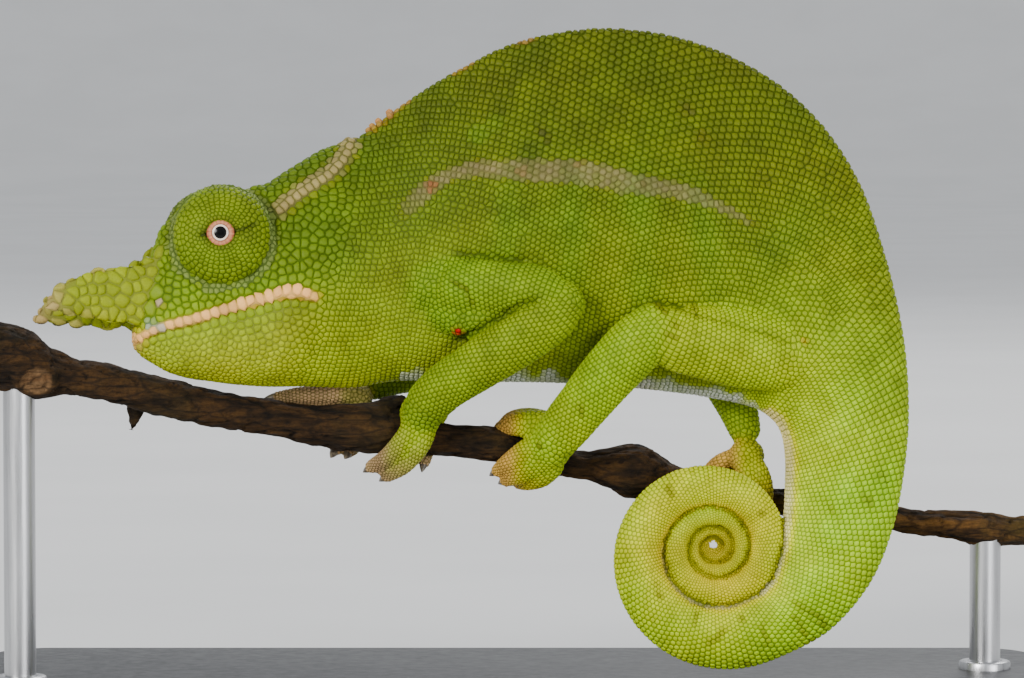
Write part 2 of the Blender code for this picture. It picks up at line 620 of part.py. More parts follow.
def add_stand(model, looks, branch_space):
    bpy.ops.mesh.primitive_cube_add(size=1)
    base = bpy.context.object
    base.name = "stand_base"
    base.data.name = "stand_base"
    for owner in list(base.users_collection):
        owner.objects.unlink(base)
    size = Vector((BASE_LENGTH, BASE_DEPTH, BASE_THICKNESS)) * MM
    for vertex in base.data.vertices:
        vertex.co = Vector(a * b for a, b in zip(vertex.co, size)) + Vector((0, 0, size.z / 2))
    base = model.keep(base, looks["stand"])
    corners = bmesh.new()
    corners.from_mesh(base.data)
    upright = [e for e in corners.edges if abs(e.verts[0].co.z - e.verts[1].co.z) > 1e-4]
    bmesh.ops.bevel(
        corners, geom=upright, offset=BASE_CORNER * MM, segments=3, affect="EDGES", profile=0.5
    )
    corners.to_mesh(base.data)
    corners.free()
    for side, x in zip(("left", "right"), ROD_X):
        y = BRANCH_LEAN * (x - BRANCH_CROSSES)
        floor = BASE_THICKNESS - ROD_SOCKET
        hole = cylinder(f"socket_{side}", ROD_RADIUS + 0.15, floor, BASE_THICKNESS + 1, x, y)
        model.boolean(base, "DIFFERENCE", model.cutter(hole))
        rod = cylinder(f"stand_rod_{side}", ROD_RADIUS, floor + GAP, branch_height(x), x, y)
        rod = model.keep(rod, looks["rod"])
        model.boolean(rod, "DIFFERENCE", branch_space)


def main():
    clear_scene()
    looks = {
        "flank": material("flank_skin", GREEN),
        "limb": material("limb_skin", YELLOW),
        "tail": material("tail_skin", YELLOW),
        "blade": material("blade_skin", PALE),
        "iris": material("iris", IRIS, roughness=0.1),
        "bark": material("bark", BARK, roughness=0.85),
        "stand": material("stand_black", BLACK, roughness=0.4),
        "rod": material("stand_steel", STEEL, roughness=0.35, metallic=1.0),
    }
    model = Model()
    add_trunk(model, looks)
    add_head(model, looks)
    limbs = add_limbs(model, looks)
    branch_space = add_perch(model, looks)
    add_feet(model, looks, limbs, branch_space)
    add_stand(model, looks, branch_space)


main()
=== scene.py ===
"""Looks of the two-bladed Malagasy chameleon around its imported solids: one skin over the whole
animal, its scales as solid meshes, the eyes, the claws, the bark of the perch and the stand.

Lengths in the tables and in the arrays are millimetres until a mesh is made.
"""

from functools import partial
from itertools import product
from math import cos, hypot, pi, radians, sin

import bpy
import numpy as np
from mathutils import Matrix, Vector, noise
from mathutils.bvhtree import BVHTree
from mathutils.kdtree import KDTree

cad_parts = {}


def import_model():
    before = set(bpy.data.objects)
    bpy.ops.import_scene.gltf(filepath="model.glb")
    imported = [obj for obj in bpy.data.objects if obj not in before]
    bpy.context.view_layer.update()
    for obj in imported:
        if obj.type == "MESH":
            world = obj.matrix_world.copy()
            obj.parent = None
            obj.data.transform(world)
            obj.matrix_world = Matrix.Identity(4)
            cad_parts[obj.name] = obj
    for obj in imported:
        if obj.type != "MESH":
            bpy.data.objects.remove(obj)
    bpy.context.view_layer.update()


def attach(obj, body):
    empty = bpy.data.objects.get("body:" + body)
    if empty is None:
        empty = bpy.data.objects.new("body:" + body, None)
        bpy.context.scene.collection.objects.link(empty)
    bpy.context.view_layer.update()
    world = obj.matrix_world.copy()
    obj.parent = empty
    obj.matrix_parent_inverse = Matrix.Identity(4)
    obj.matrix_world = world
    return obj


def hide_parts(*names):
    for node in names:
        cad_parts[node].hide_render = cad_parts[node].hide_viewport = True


MM = 0.001  # metres in a millimetre
WAY = {"left": -1, "right": 1}  # the side of the animal, as the sign of y
FAR = 99.0  # mm, for what isn't near at all
SHARP = radians(35)  # edges of the stand that are sharper than this stay hard
rng = np.random.default_rng(7)

# Stand
BASE_LENGTH, BASE_DEPTH, BASE_CORNER = 104.0, 50.0, 6.0
BASE_PROFILE = (  # z, inset of the edge
    (0.0, 0.35), (0.12, 0.1), (0.35, 0.0), (4.35, 0.0), (4.65, 0.09), (4.88, 0.32), (5.0, 0.62),
)
ROD_RADIUS = 1.5
ROD_X = (-46.4, 45.8)
COLLAR = (  # radius, z
    (0.0, 4.8), (2.5, 4.8), (2.5, 5.55), (2.42, 5.72), (2.25, 5.8), (1.7, 5.8), (1.56, 5.7), (0.0, 5.7),
)

# Branch: it leans away from -Y towards +X
BRANCH_LEAN = 0.13  # y gained for each mm of x
BRANCH_CROSSES = -10.6  # the x where its axis has y = 0

# Head: turned towards the left side and rolled, about a pivot in the neck
HEAD_TURN, HEAD_ROLL = radians(12), radians(5)
HEAD_PIVOT = np.array(Vector((-10.6, 0.0, 41.0)))

# Tail coil: its boundary is a logarithmic spiral in the plane of the body
COIL_CENTRE = (19.2, 17.7)
COIL_RADIUS = 11.6
COIL_DECAY = 0.0019  # per degree, clockwise from the lowest point
COIL_FLATTER = 0.07  # by how much the top of each turn is nearer the centre
COIL_SIDE = -1.6  # y of the coil's middle plane
COIL_GROOVE = 0.06  # gap between one turn and the next
COIL_LAST = 1560  # degrees into the spiral where the tail ends

# Sections from the snout to the tail bend: back x, z, belly x, z, y of the middle,
# then half-widths at 15, 50 and 85 % of the way from the back to the belly.
HEAD = (
    (-36.1, 39.6, -36.2, 36.9, 0.0, 0.7, 1.0, 0.9),  # lips
    (-35.4, 42.4, -35.4, 35.9, 0.0, 0.9, 1.9, 1.5),  # snout
    (-34.4, 45.4, -34.3, 35.2, 0.0, 1.2, 2.6, 2.1),
    (-32.9, 48.6, -32.9, 34.4, 0.0, 2.2, 3.3, 2.7),  # brow
    (-31.0, 50.4, -31.0, 33.8, 0.0, 2.7, 3.8, 3.2),
    (-28.7, 51.4, -29.0, 33.5, 0.0, 2.9, 4.2, 3.7),  # eyes
    (-26.2, 51.9, -26.9, 33.2, 0.0, 3.0, 4.6, 4.1),
    (-23.6, 52.1, -24.8, 33.0, 0.0, 3.1, 5.1, 4.4),
    (-20.9, 53.7, -23.0, 32.9, 0.0, 3.2, 5.6, 4.6),  # temple
    (-17.4, 55.7, -21.4, 32.9, 0.0, 3.1, 5.8, 4.7),  # jaw angle
    (-13.8, 57.0, -20.1, 32.9, 0.0, 2.9, 5.7, 4.6),  # casque tip
)
TRUNK = (
    (-10.2, 59.7, -15.2, 32.7, 0.0, 2.6, 5.4, 4.3),  # nape
    (-5.9, 62.5, -10.6, 33.3, 0.0, 2.5, 5.3, 4.0),  # shoulder
    (0.8, 65.7, -4.0, 33.2, 0.0, 2.4, 5.5, 4.0),
    (8.4, 66.9, 3.6, 33.1, 0.0, 2.5, 5.7, 4.1),  # mid body
    (16.0, 66.0, 10.3, 32.7, 0.0, 2.5, 5.6, 4.1),
    (22.8, 63.2, 16.0, 32.1, 0.0, 2.5, 5.2, 3.8),
    (28.5, 58.8, 19.8, 31.5, -0.1, 2.4, 4.7, 3.5),  # pelvis
    (32.7, 52.8, 22.1, 31.0, -0.2, 2.3, 4.3, 3.3),
    (35.3, 45.8, 23.7, 30.4, -0.4, 2.2, 3.9, 3.1),  # vent
    (37.1, 38.2, 25.2, 29.0, -0.6, 2.2, 3.5, 2.9),
    (37.7, 31.5, 25.9, 26.6, -0.8, 2.1, 3.2, 2.7),
    (37.4, 25.7, 26.1, 23.6, -1.0, 2.0, 3.0, 2.5),
    (36.3, 19.7, 26.1, 20.0, -1.2, 1.8, 2.9, 2.3),  # tail bend
    (34.2, 14.4, 25.8, 16.7, -1.4, 1.6, 2.6, 2.1),
    (30.5, 9.9, 24.6, 13.8, -1.5, 1.4, 2.4, 1.9),
)
COIL_START = -33  # degrees, where the ladder runs into the spiral
COIL_STEP = 20

# Snout blade in its own side view: top x, z, bottom x, z, y of the middle, half-thicknesses
BLADE = (
    (-44.8, 40.9, -44.8, 40.2, 2.5, 0.25, 0.3, 0.25),
    (-43.8, 42.5, -43.8, 40.0, 2.4, 0.34, 0.42, 0.34),
    (-42.1, 43.5, -42.1, 39.7, 2.3, 0.38, 0.5, 0.38),
    (-39.8, 44.2, -39.9, 39.2, 2.1, 0.4, 0.55, 0.4),
    (-37.5, 44.5, -37.4, 38.8, 1.8, 0.42, 0.6, 0.42),
    (-35.0, 45.2, -34.9, 39.1, 1.5, 0.42, 0.62, 0.42),  # root
    (-33.2, 46.9, -33.0, 39.9, 1.2, 0.5, 1.0, 0.5),  # inside the snout
)
# The far blade hangs lower and sits further forward
BLADE_DROOP = {"left": 0.0, "right": radians(5)}
BLADE_SHIFT = {"left": (0.0, 0.0), "right": (-0.75, -0.15)}

# Eye: a turned turret, whose profile is radius, height along its axis
EYE_CENTRE = (-28.0, 47.1)
EYE_AXIS = (-0.20, 0.97, 0.04)
EYE_FLOOR = 2.9
TURRET = (
    (0.0, -1.2), (3.0, -0.8), (4.6, 0.3), (4.8, 1.1), (4.5, 1.9),
    (3.6, 2.7), (2.6, 3.2), (1.5, 3.4), (1.3, 3.3),
    (1.3, 2.7), (0.0, 2.7),
)
TURRET_SHARE, LID_FLATTER = 0.96, 0.13  # how much narrower the skin's lid is, and flatter at the pupil
LID_GROOVE = 4.72  # radius of the fold round the lid
SOCKET_TUBE, SOCKET_RADIUS, SOCKET_HEIGHT = 0.46, 4.62, 0.62  # the ring of skin round the lid
EYE_RADIUS, EYE_CURVE, EYE_APEX = 1.30, 2.1, 3.46  # the eyeball: half-width, curve of its front, height

# Where the mouth parts the head, as a share of the way from the top to the chin, for each
# head section
MOUTH = (0.88, 0.76, 0.73, 0.72, 0.70, 0.67, 0.635, 0.60, 0.605, 0.655, 0.69)

# Legs: x, z, y of the middle line, then the radius in side view and the radius in depth
LEGS = {
    "upper_arm_left": (
        (-7.0, 42.7, -4.0, 2.5, 2.1), (-3.9, 42.6, -5.4, 2.7, 2.2),
        (-0.7, 42.5, -6.4, 2.7, 2.2), (2.4, 41.9, -7.1, 2.7, 2.2),
        (4.4, 41.3, -7.5, 2.0, 1.8),
    ),
    "forearm_left": (
        (5.0, 41.4, -7.6, 2.1, 1.9), (3.4, 39.8, -7.7, 2.6, 2.2),
        (0.3, 37.5, -7.4, 2.6, 2.2), (-3.0, 35.4, -6.6, 2.5, 2.2),
        (-6.2, 33.2, -5.3, 2.3, 2.0), (-8.1, 31.5, -4.2, 2.2, 1.9),
    ),
    "upper_arm_right": (
        (-6.9, 42.3, 4.0, 2.5, 2.1), (-4.8, 40.6, 5.6, 2.6, 2.2),
        (-2.9, 38.6, 6.8, 2.6, 2.2), (-1.5, 37.2, 7.4, 1.9, 1.7),
    ),
    "forearm_right": (
        (-1.2, 36.9, 7.5, 2.1, 1.9), (-2.7, 35.7, 7.6, 2.4, 2.1),
        (-5.6, 34.7, 7.1, 2.3, 2.0), (-8.5, 34.0, 6.2, 2.0, 1.8),
        (-11.1, 33.3, 5.0, 1.6, 1.5), (-13.2, 32.5, 3.9, 1.3, 1.3),
    ),
    "thigh_left": (
        (25.1, 36.3, -3.2, 3.8, 2.5), (21.6, 36.7, -4.4, 3.8, 2.7),
        (18.2, 37.2, -5.4, 3.4, 2.6), (15.4, 37.9, -6.0, 3.2, 2.4),
        (13.8, 38.8, -6.2, 2.2, 1.9),
    ),
    "shank_left": (
        (13.6, 39.0, -6.2, 2.4, 2.1), (11.4, 36.9, -6.1, 2.8, 2.3),
        (8.8, 34.0, -5.4, 2.7, 2.2), (6.5, 31.1, -4.2, 2.5, 2.0),
        (4.6, 28.7, -3.0, 2.4, 1.9),
    ),
    "thigh_right": (
        (26.1, 36.0, 2.4, 3.4, 2.3), (22.3, 38.0, 4.6, 3.2, 2.5),
        (19.1, 40.2, 6.0, 2.9, 2.4), (17.7, 40.9, 6.5, 1.9, 1.7),
    ),
    "shank_right": (
        (17.3, 41.1, 6.6, 2.2, 2.0), (18.5, 37.8, 7.0, 2.5, 2.2),
        (20.1, 34.0, 6.6, 2.4, 2.1), (21.6, 30.7, 5.6, 2.0, 1.8),
        (22.4, 28.3, 4.8, 1.6, 1.5),
    ),
}

# Feet: the palm as x, z, y, radii; then toes as x, z, y, radius from root to tip. A claw
# goes on from each tip.
FEET = {
    "hand_left": {
        "palm": (-8.6, 30.5, -2.5, 2.0, 1.9),
        "toes": (
            (
                (-9.1, 30.0, -3.0, 1.0), (-10.1, 28.2, -3.1, 1.0),
                (-11.7, 26.4, -2.3, 0.9), (-13.4, 25.2, -0.7, 0.7),
            ),
            (
                (-7.9, 29.8, -2.8, 1.1), (-8.7, 27.6, -3.0, 1.1),
                (-10.2, 25.5, -2.0, 0.9), (-11.9, 24.3, -0.3, 0.7),
            ),
            (
                (-9.1, 30.8, -0.2, 1.0), (-10.2, 30.1, 2.2, 1.0),
                (-10.9, 27.9, 3.4, 0.9), (-11.4, 25.8, 2.2, 0.7),
            ),
            ((-8.1, 30.6, 0.0, 1.0), (-8.9, 29.7, 2.4, 1.0), (-9.5, 27.5, 3.3, 0.9), (-9.9, 25.7, 2.0, 0.7)),
            ((-7.0, 30.2, 0.0, 1.0), (-7.6, 29.3, 2.4, 1.0), (-8.0, 27.3, 3.2, 0.9), (-8.4, 25.5, 1.8, 0.7)),
        ),
    },
    "hand_right": {
        "palm": (-14.9, 31.5, 2.4, 1.5, 1.4),
        "toes": (
            (
                (-15.8, 32.0, 1.4, 0.9), (-18.3, 32.1, 0.5, 0.9),
                (-20.5, 32.0, 0.2, 0.8), (-22.4, 31.8, 0.1, 0.6),
            ),
            (
                (-15.9, 31.3, 2.2, 0.9), (-18.1, 31.2, 1.4, 0.9),
                (-20.3, 31.1, 1.1, 0.8), (-22.0, 30.9, 1.0, 0.6),
            ),
            (
                (-15.5, 30.4, 2.6, 0.9), (-17.7, 30.2, 1.9, 0.9),
                (-19.8, 30.1, 1.6, 0.8), (-21.4, 29.9, 1.4, 0.6),
            ),
            (
                (-15.5, 30.6, 3.0, 0.9), (-15.9, 28.6, 3.2, 0.9),
                (-16.4, 27.4, 2.4, 0.9), (-16.9, 26.6, 1.0, 0.6),
            ),
            (
                (-14.4, 30.4, 3.2, 0.9), (-14.7, 28.4, 3.6, 0.9),
                (-15.1, 27.1, 2.8, 0.9), (-15.6, 26.4, 1.3, 0.6),
            ),
        ),
    },
    "foot_left": {
        "palm": (3.8, 27.5, -1.6, 2.4, 1.9),
        "toes": (
            ((3.1, 27.7, -1.8, 1.2), (1.3, 26.7, -1.5, 1.2), (-0.3, 25.6, -1.0, 1.0), (-1.4, 24.8, 0.1, 0.7)),
            ((3.5, 26.3, -1.6, 1.2), (2.0, 25.3, -1.2, 1.2), (0.5, 24.4, -0.4, 1.0), (-0.6, 23.8, 0.9, 0.7)),
            ((3.9, 25.3, -1.2, 1.1), (2.8, 24.3, -0.6, 1.1), (1.5, 23.7, 0.6, 0.9), (0.6, 23.5, 1.9, 0.7)),
            ((3.6, 29.3, -0.4, 1.2), (1.5, 29.6, 0.8, 1.2), (-0.3, 29.1, 2.4, 1.0), (-1.1, 27.0, 4.0, 0.7)),
            ((4.2, 28.2, 1.0, 1.2), (2.5, 28.3, 2.6, 1.2), (1.0, 27.4, 4.0, 1.0), (0.4, 25.5, 4.1, 0.7)),
        ),
    },
    "foot_right": {
        "palm": (22.5, 25.9, 3.9, 1.7, 1.5),
        "toes": (
            ((23.2, 25.4, 2.9, 0.9), (23.9, 24.1, 2.2, 0.9), (24.2, 22.4, 2.2, 0.9), (24.2, 20.9, 3.3, 0.6)),
            ((22.0, 25.4, 2.9, 0.9), (22.4, 23.9, 2.0, 0.9), (22.6, 22.2, 2.1, 0.9), (22.6, 20.9, 3.3, 0.6)),
            ((21.7, 25.9, 4.2, 0.9), (20.2, 25.3, 4.6, 0.9), (19.2, 24.2, 5.6, 0.9), (18.9, 22.7, 5.9, 0.6)),
            ((22.1, 25.4, 5.0, 0.9), (20.9, 24.4, 6.0, 0.9), (20.3, 23.0, 6.4, 0.9), (20.2, 21.5, 5.6, 0.6)),
            ((22.7, 25.2, 5.2, 0.9), (22.0, 23.8, 6.4, 0.9), (21.6, 22.4, 6.6, 0.9), (21.8, 21.1, 5.6, 0.6)),
        ),
    },
}
CLAW = (  # reach past the tip of the toe, radii
    (-0.2, 0.46, 0.42), (0.35, 0.40, 0.34), (0.8, 0.25, 0.20), (1.15, 0.07, 0.06),
)

# Branch: x, z of its axis and its radius, from the thick end to the thin one
BRANCH = (
    (-50.0, 36.1, 3.5), (-47.2, 35.7, 3.3), (-44.4, 34.6, 2.8), (-41.9, 34.1, 2.0),
    (-37.9, 33.3, 1.9), (-33.1, 32.0, 1.9), (-28.2, 31.0, 1.9), (-23.1, 30.0, 1.9),
    (-18.4, 29.2, 2.1), (-15.4, 28.9, 2.4), (-12.5, 28.8, 2.4), (-9.5, 28.3, 2.0),
    (-6.9, 27.8, 1.7), (-1.7, 27.2, 1.7), (3.2, 25.9, 1.6), (6.5, 25.2, 1.4),
    (9.0, 24.9, 1.9), (11.6, 24.5, 2.7), (14.2, 23.6, 2.2), (17.1, 23.0, 1.6),
    (25.8, 21.5, 1.4), (37.4, 19.5, 1.3), (42.3, 19.0, 1.5), (45.8, 18.5, 1.8),
    (48.2, 18.4, 1.6), (51.6, 18.2, 1.6),
)
STUB = ((-12.7, 30.2, 0.2, 1.3), (-11.4, 31.1, -0.2, 1.1), (-10.5, 31.6, -0.5, 0.8))
KNOT = (-44.4, 33.4, -7.4)  # middles of two marks in the bark
SWIRL = (-12.8, 30.3, -2.6)
THORN = ((-35.7, 31.0, -1.2, 1.0), (-35.9, 29.7, -1.6, 0.6), (-36.1, 28.6, -1.8, 0.2))


# --------------------------------------------------------------------------- markings
# Colours are sRGB from 0 to 255. Along the ladder: place, back, flank and belly, then the
# width of a scale on the back, the flank and the belly in mm.
BODY_LOOK = (
    (0.0, (150, 150, 70), (160, 160, 75), (150, 140, 90), 0.50, 0.50, 0.45),
    (1.5, (140, 158, 40), (146, 164, 46), (150, 160, 80), 0.70, 0.70, 0.50),
    (3.0, (126, 148, 24), (132, 152, 26), (150, 160, 74), 0.85, 0.85, 0.48),
    (6.0, (112, 134, 14), (120, 140, 14), (152, 160, 72), 0.85, 0.92, 0.48),
    (8.0, (100, 118, 18), (110, 130, 10), (152, 158, 70), 0.80, 0.88, 0.48),
    (10.0, (98, 112, 16), (106, 122, 12), (150, 158, 62), 0.70, 0.62, 0.48),
    (12.0, (100, 110, 12), (108, 122, 16), (146, 156, 60), 0.66, 0.56, 0.46),
    (14.0, (102, 110, 10), (116, 130, 24), (150, 162, 74), 0.74, 0.60, 0.46),
    (16.0, (104, 112, 12), (120, 132, 26), (156, 166, 90), 0.74, 0.60, 0.46),
    (18.0, (112, 122, 14), (132, 148, 30), (160, 172, 70), 0.70, 0.56, 0.46),
    (19.5, (128, 140, 20), (152, 168, 40), (158, 172, 44), 0.66, 0.54, 0.46),
    (21.0, (140, 156, 26), (164, 180, 38), (170, 182, 46), 0.66, 0.56, 0.44),
    (23.0, (144, 164, 28), (158, 176, 40), (172, 182, 56), 0.66, 0.54, 0.42),
    (25.0, (148, 166, 34), (164, 180, 44), (176, 182, 60), 0.64, 0.50, 0.38),
    (30.0, (168, 180, 44), (178, 188, 50), (184, 186, 60), 0.56, 0.44, 0.34),
    (36.0, (184, 188, 46), (190, 192, 48), (190, 188, 60), 0.46, 0.38, 0.30),
    (45.0, (190, 188, 48), (196, 192, 50), (196, 188, 70), 0.38, 0.34, 0.26),
    (60.0, (190, 180, 52), (198, 186, 58), (196, 178, 80), 0.27, 0.26, 0.22),
    (100.0, (170, 150, 60), (186, 160, 70), (180, 150, 80), 0.20, 0.20, 0.20),
)
# Legs: colour at the start and the end, width of a scale at the start and the end
LIMB_LOOK = {
    "upper_arm": ((124, 146, 16), (134, 154, 14), 0.52, 0.50),
    "forearm": ((140, 156, 12), (134, 152, 28), 0.50, 0.50),
    "thigh": ((158, 172, 20), (146, 156, 12), 0.52, 0.50),
    "shank": ((146, 164, 18), (148, 166, 26), 0.50, 0.50),
    "tail": ((150, 140, 46), (150, 140, 46), 0.30, 0.30),
}
HAND_GREEN, HAND_TIP, FOOT_GREEN, FOOT_EDGE = (146, 162, 40), (170, 140, 104), (148, 164, 40), (196, 156, 88)
LIP, STRIPE, STRIPE_EDGE, ORANGE = (236, 184, 132), (146, 130, 88), (190, 174, 106), (160, 92, 52)
CREST_PALE, WHITE, BLADE_GREEN, BLADE_PINK = (190, 160, 108), (206, 206, 196), (144, 156, 40), (184, 152, 112)
SOCKET, TURRET_GREEN, LID_RING, VENTRAL = (122, 138, 64), (122, 136, 16), (96, 104, 40), (212, 200, 150)
# PIT_SHADE is near-black painted shade for the nostril's pit
SMEAR, PIT_SHADE, BEAD = (150, 168, 170), (30, 30, 26), (214, 188, 172)
BAR, FLECK, DASH, CONE = (118, 152, 62), (84, 84, 60), (172, 138, 100), (200, 150, 118)
IRIS, IRIS_DARK, IRIS_RIM = (218, 150, 112), (158, 84, 56), (96, 50, 34)
PUPIL_RING, PUPIL = (238, 220, 200), (4, 4, 4)
TINT = {  # how far a hand or foot takes the tone of its tips: from x, to x, everywhere
    "foot_left": (2.0, -0.6, 0.0), "hand_left": (-10.0, -12.6, 0.0),
    "foot_right": (23.4, 20.6, 0.35), "hand_right": (-14.0, -17.0, 0.7),
}

# Named curves on the near side, as x, z; the stripe also has its half-width
STRIPE_LINE = (
    (-11.6, 48.1, 0.4), (-10.3, 49.6, 0.8), (-8.9, 50.9, 0.8), (-7.6, 52.0, 0.8), (-6.1, 52.9, 0.6),
    (-3.7, 53.6, 0.7), (0.5, 53.5, 0.9), (4.6, 53.3, 1.1), (7.4, 53.2, 1.1), (10.3, 52.4, 1.0),
    (14.1, 51.8, 0.8), (16.9, 51.2, 0.7), (19.0, 50.3, 0.5), (21.2, 49.2, 0.4), (24.5, 47.5, 0.3),
)
CREST_LINE = (
    (-23.4, 48.8), (-21.8, 50.2), (-19.8, 51.6), (-17.8, 52.8), (-16.3, 54.2), (-15.3, 56.0),
)
SPOTS = (  # x, z, reach, colour, strength
    (-7.6, 52.0, 0.75, ORANGE, 0.85), (0.9, 53.3, 0.6, (150, 100, 56), 0.6),
    (6.4, 54.0, 0.6, (146, 96, 54), 0.6), (12.3, 52.1, 0.6, (150, 104, 60), 0.5),
    (-5.1, 38.3, 0.55, (186, 52, 18), 0.95),  # at the elbow
    (27.6, 37.4, 0.3, (170, 80, 20), 0.8),
    (-3.1, 56.8, 1.3, (112, 140, 34), 0.5), (-1.6, 57.8, 1.0, (116, 142, 44), 0.4),
    (16.3, 58.9, 1.0, (104, 104, 34), 0.5), (6.1, 58.0, 1.0, (84, 92, 10), 0.5),
    (1.7, 55.5, 1.2, (84, 98, 8), 0.5), (17.9, 56.5, 0.9, (110, 106, 44), 0.5),
)
BARS = (  # x at the middle of the flank, lean, half-width
    (-0.7, 0.06, 1.3), (5.6, 0.04, 1.5), (12.2, -0.02, 1.6), (18.2, -0.10, 1.5),
)
DASHES = ((-11.4, -9.6), (-5.6, -3.4), (0.2, 2.4))  # pink stretches of the back's ridge: from x, to x
NOSTRIL = (-34.7, 40.9)
NOSTRIL_BEAD = (-34.0, 40.8)  # a pale scale behind it
SMEAR_LINE = ((-35.0, 39.0), (-34.0, 38.6))
# The folds that run forwards and backwards from the pupil, in the plane of the lid
LID_SLITS = (((1.25, 0.12), (2.2, 0.36), (3.1, 0.80), (3.9, 1.2)), ((-1.25, -0.1), (-2.2, -0.35)))
FOLDS = (  # creases of the near side: x and z, depth, half-width
    (((2.7, 41.7), (0.8, 41.0), (-2.3, 39.2), (-4.6, 37.7), (-6.8, 36.0)), 0.62, 0.34),
    (((-5.4, 45.7), (-3.2, 45.5), (-1.1, 45.2), (1.7, 45.0)), 0.26, 0.34),
    (((12.2, 40.5), (13.1, 41.2), (15.6, 40.6), (20.7, 39.1), (24.3, 38.0), (27.4, 36.7)), 0.20, 0.30),
    (((-6.3, 44.7), (-7.2, 43.1), (-7.4, 41.0)), 0.20, 0.5),
    (((-5.7, 42.8), (-4.6, 42.6), (-3.8, 41.4), (-3.7, 40.5)), 0.16, 0.28),
)

# --------------------------------------------------------------------------- sizes of the skin and its scales
VOXEL = 0.23
# How far the skin lies inside the solids, to leave room for its scales
SKIN_DEPTH, LIMB_DEPTH, TOE_DEPTH, BLADE_DEPTH = 0.13, 0.11, 0.09, 0.17
MOUTH_END = 9.2  # ladder place of the corner of the mouth
JOINS = (  # where one part meets another: centre, reach, rounds of smoothing
    ((-6.6, -4.2, 42.6), 4.2, 14), ((24.6, -3.6, 36.4), 6.0, 18),  # the left legs
    ((-6.6, 4.2, 42.2), 4.0, 12), ((25.4, 2.8, 36.4), 5.6, 16),  # the right ones
    ((4.8, -7.6, 41.3), 2.6, 8), ((13.7, -6.2, 38.9), 3.0, 8),  # elbows and knees
    ((-1.4, 7.4, 37.0), 2.4, 8), ((17.5, 6.6, 41.0), 2.6, 8),
    ((-8.5, -3.9, 31.2), 3.4, 26), ((-7.6, -5.4, 38.4), 3.2, 18),  # left wrist, fold of the arm
    ((4.0, -2.6, 28.4), 3.4, 22),  # left ankle
    ((-14.4, 3.0, 32.0), 1.9, 6), ((22.4, 4.4, 27.0), 2.0, 6),  # right wrist and ankle
)
GROOVE = 0.035  # between two scales
ROW_SHARE = 0.90  # distance between rows as a share of a scale's width
NAPE = 10.1  # ladder place where the rings of scales begin
SERIES = (  # rings of scales: ladder places, shares of the side that they cross and where they are counted
    (NAPE, 19.2, 0.0, 0.42, 0.22),
    (NAPE, 19.2, 0.42, 1.0, 0.72),
    (19.2, 108.0, 0.0, 1.0, 0.5),
)
PIECES = (  # the body's pieces of scales behind the nape, each with the ladder place where it ends
    ("neck", 12.5), ("flank", 16.0), ("pelvis", 20.0),
    ("tail_base", 24.0), ("tail_bend", 30.0), ("tail_coil", 40.0), ("tail_tip", FAR),
)
TURRET_RINGS = (1.62, 4.75)  # radii of the first and the last ring of scales on a lid
LID_SCALE = ((1.5, 4.5), (0.36, 0.66))  # radii on the lid, widths of a scale there
SOCKET_SCALE, TOE_SCALE = 0.34, (0.44, 0.34)  # widths of a scale; along a toe, from and to
DOME = ((0.55, 0.92), (0.86, 0.58), (1.0, 0.0))  # a scale's profile: share of its reach, share of its height
PATCH = 0.003  # side of a scale's patch on the baking map
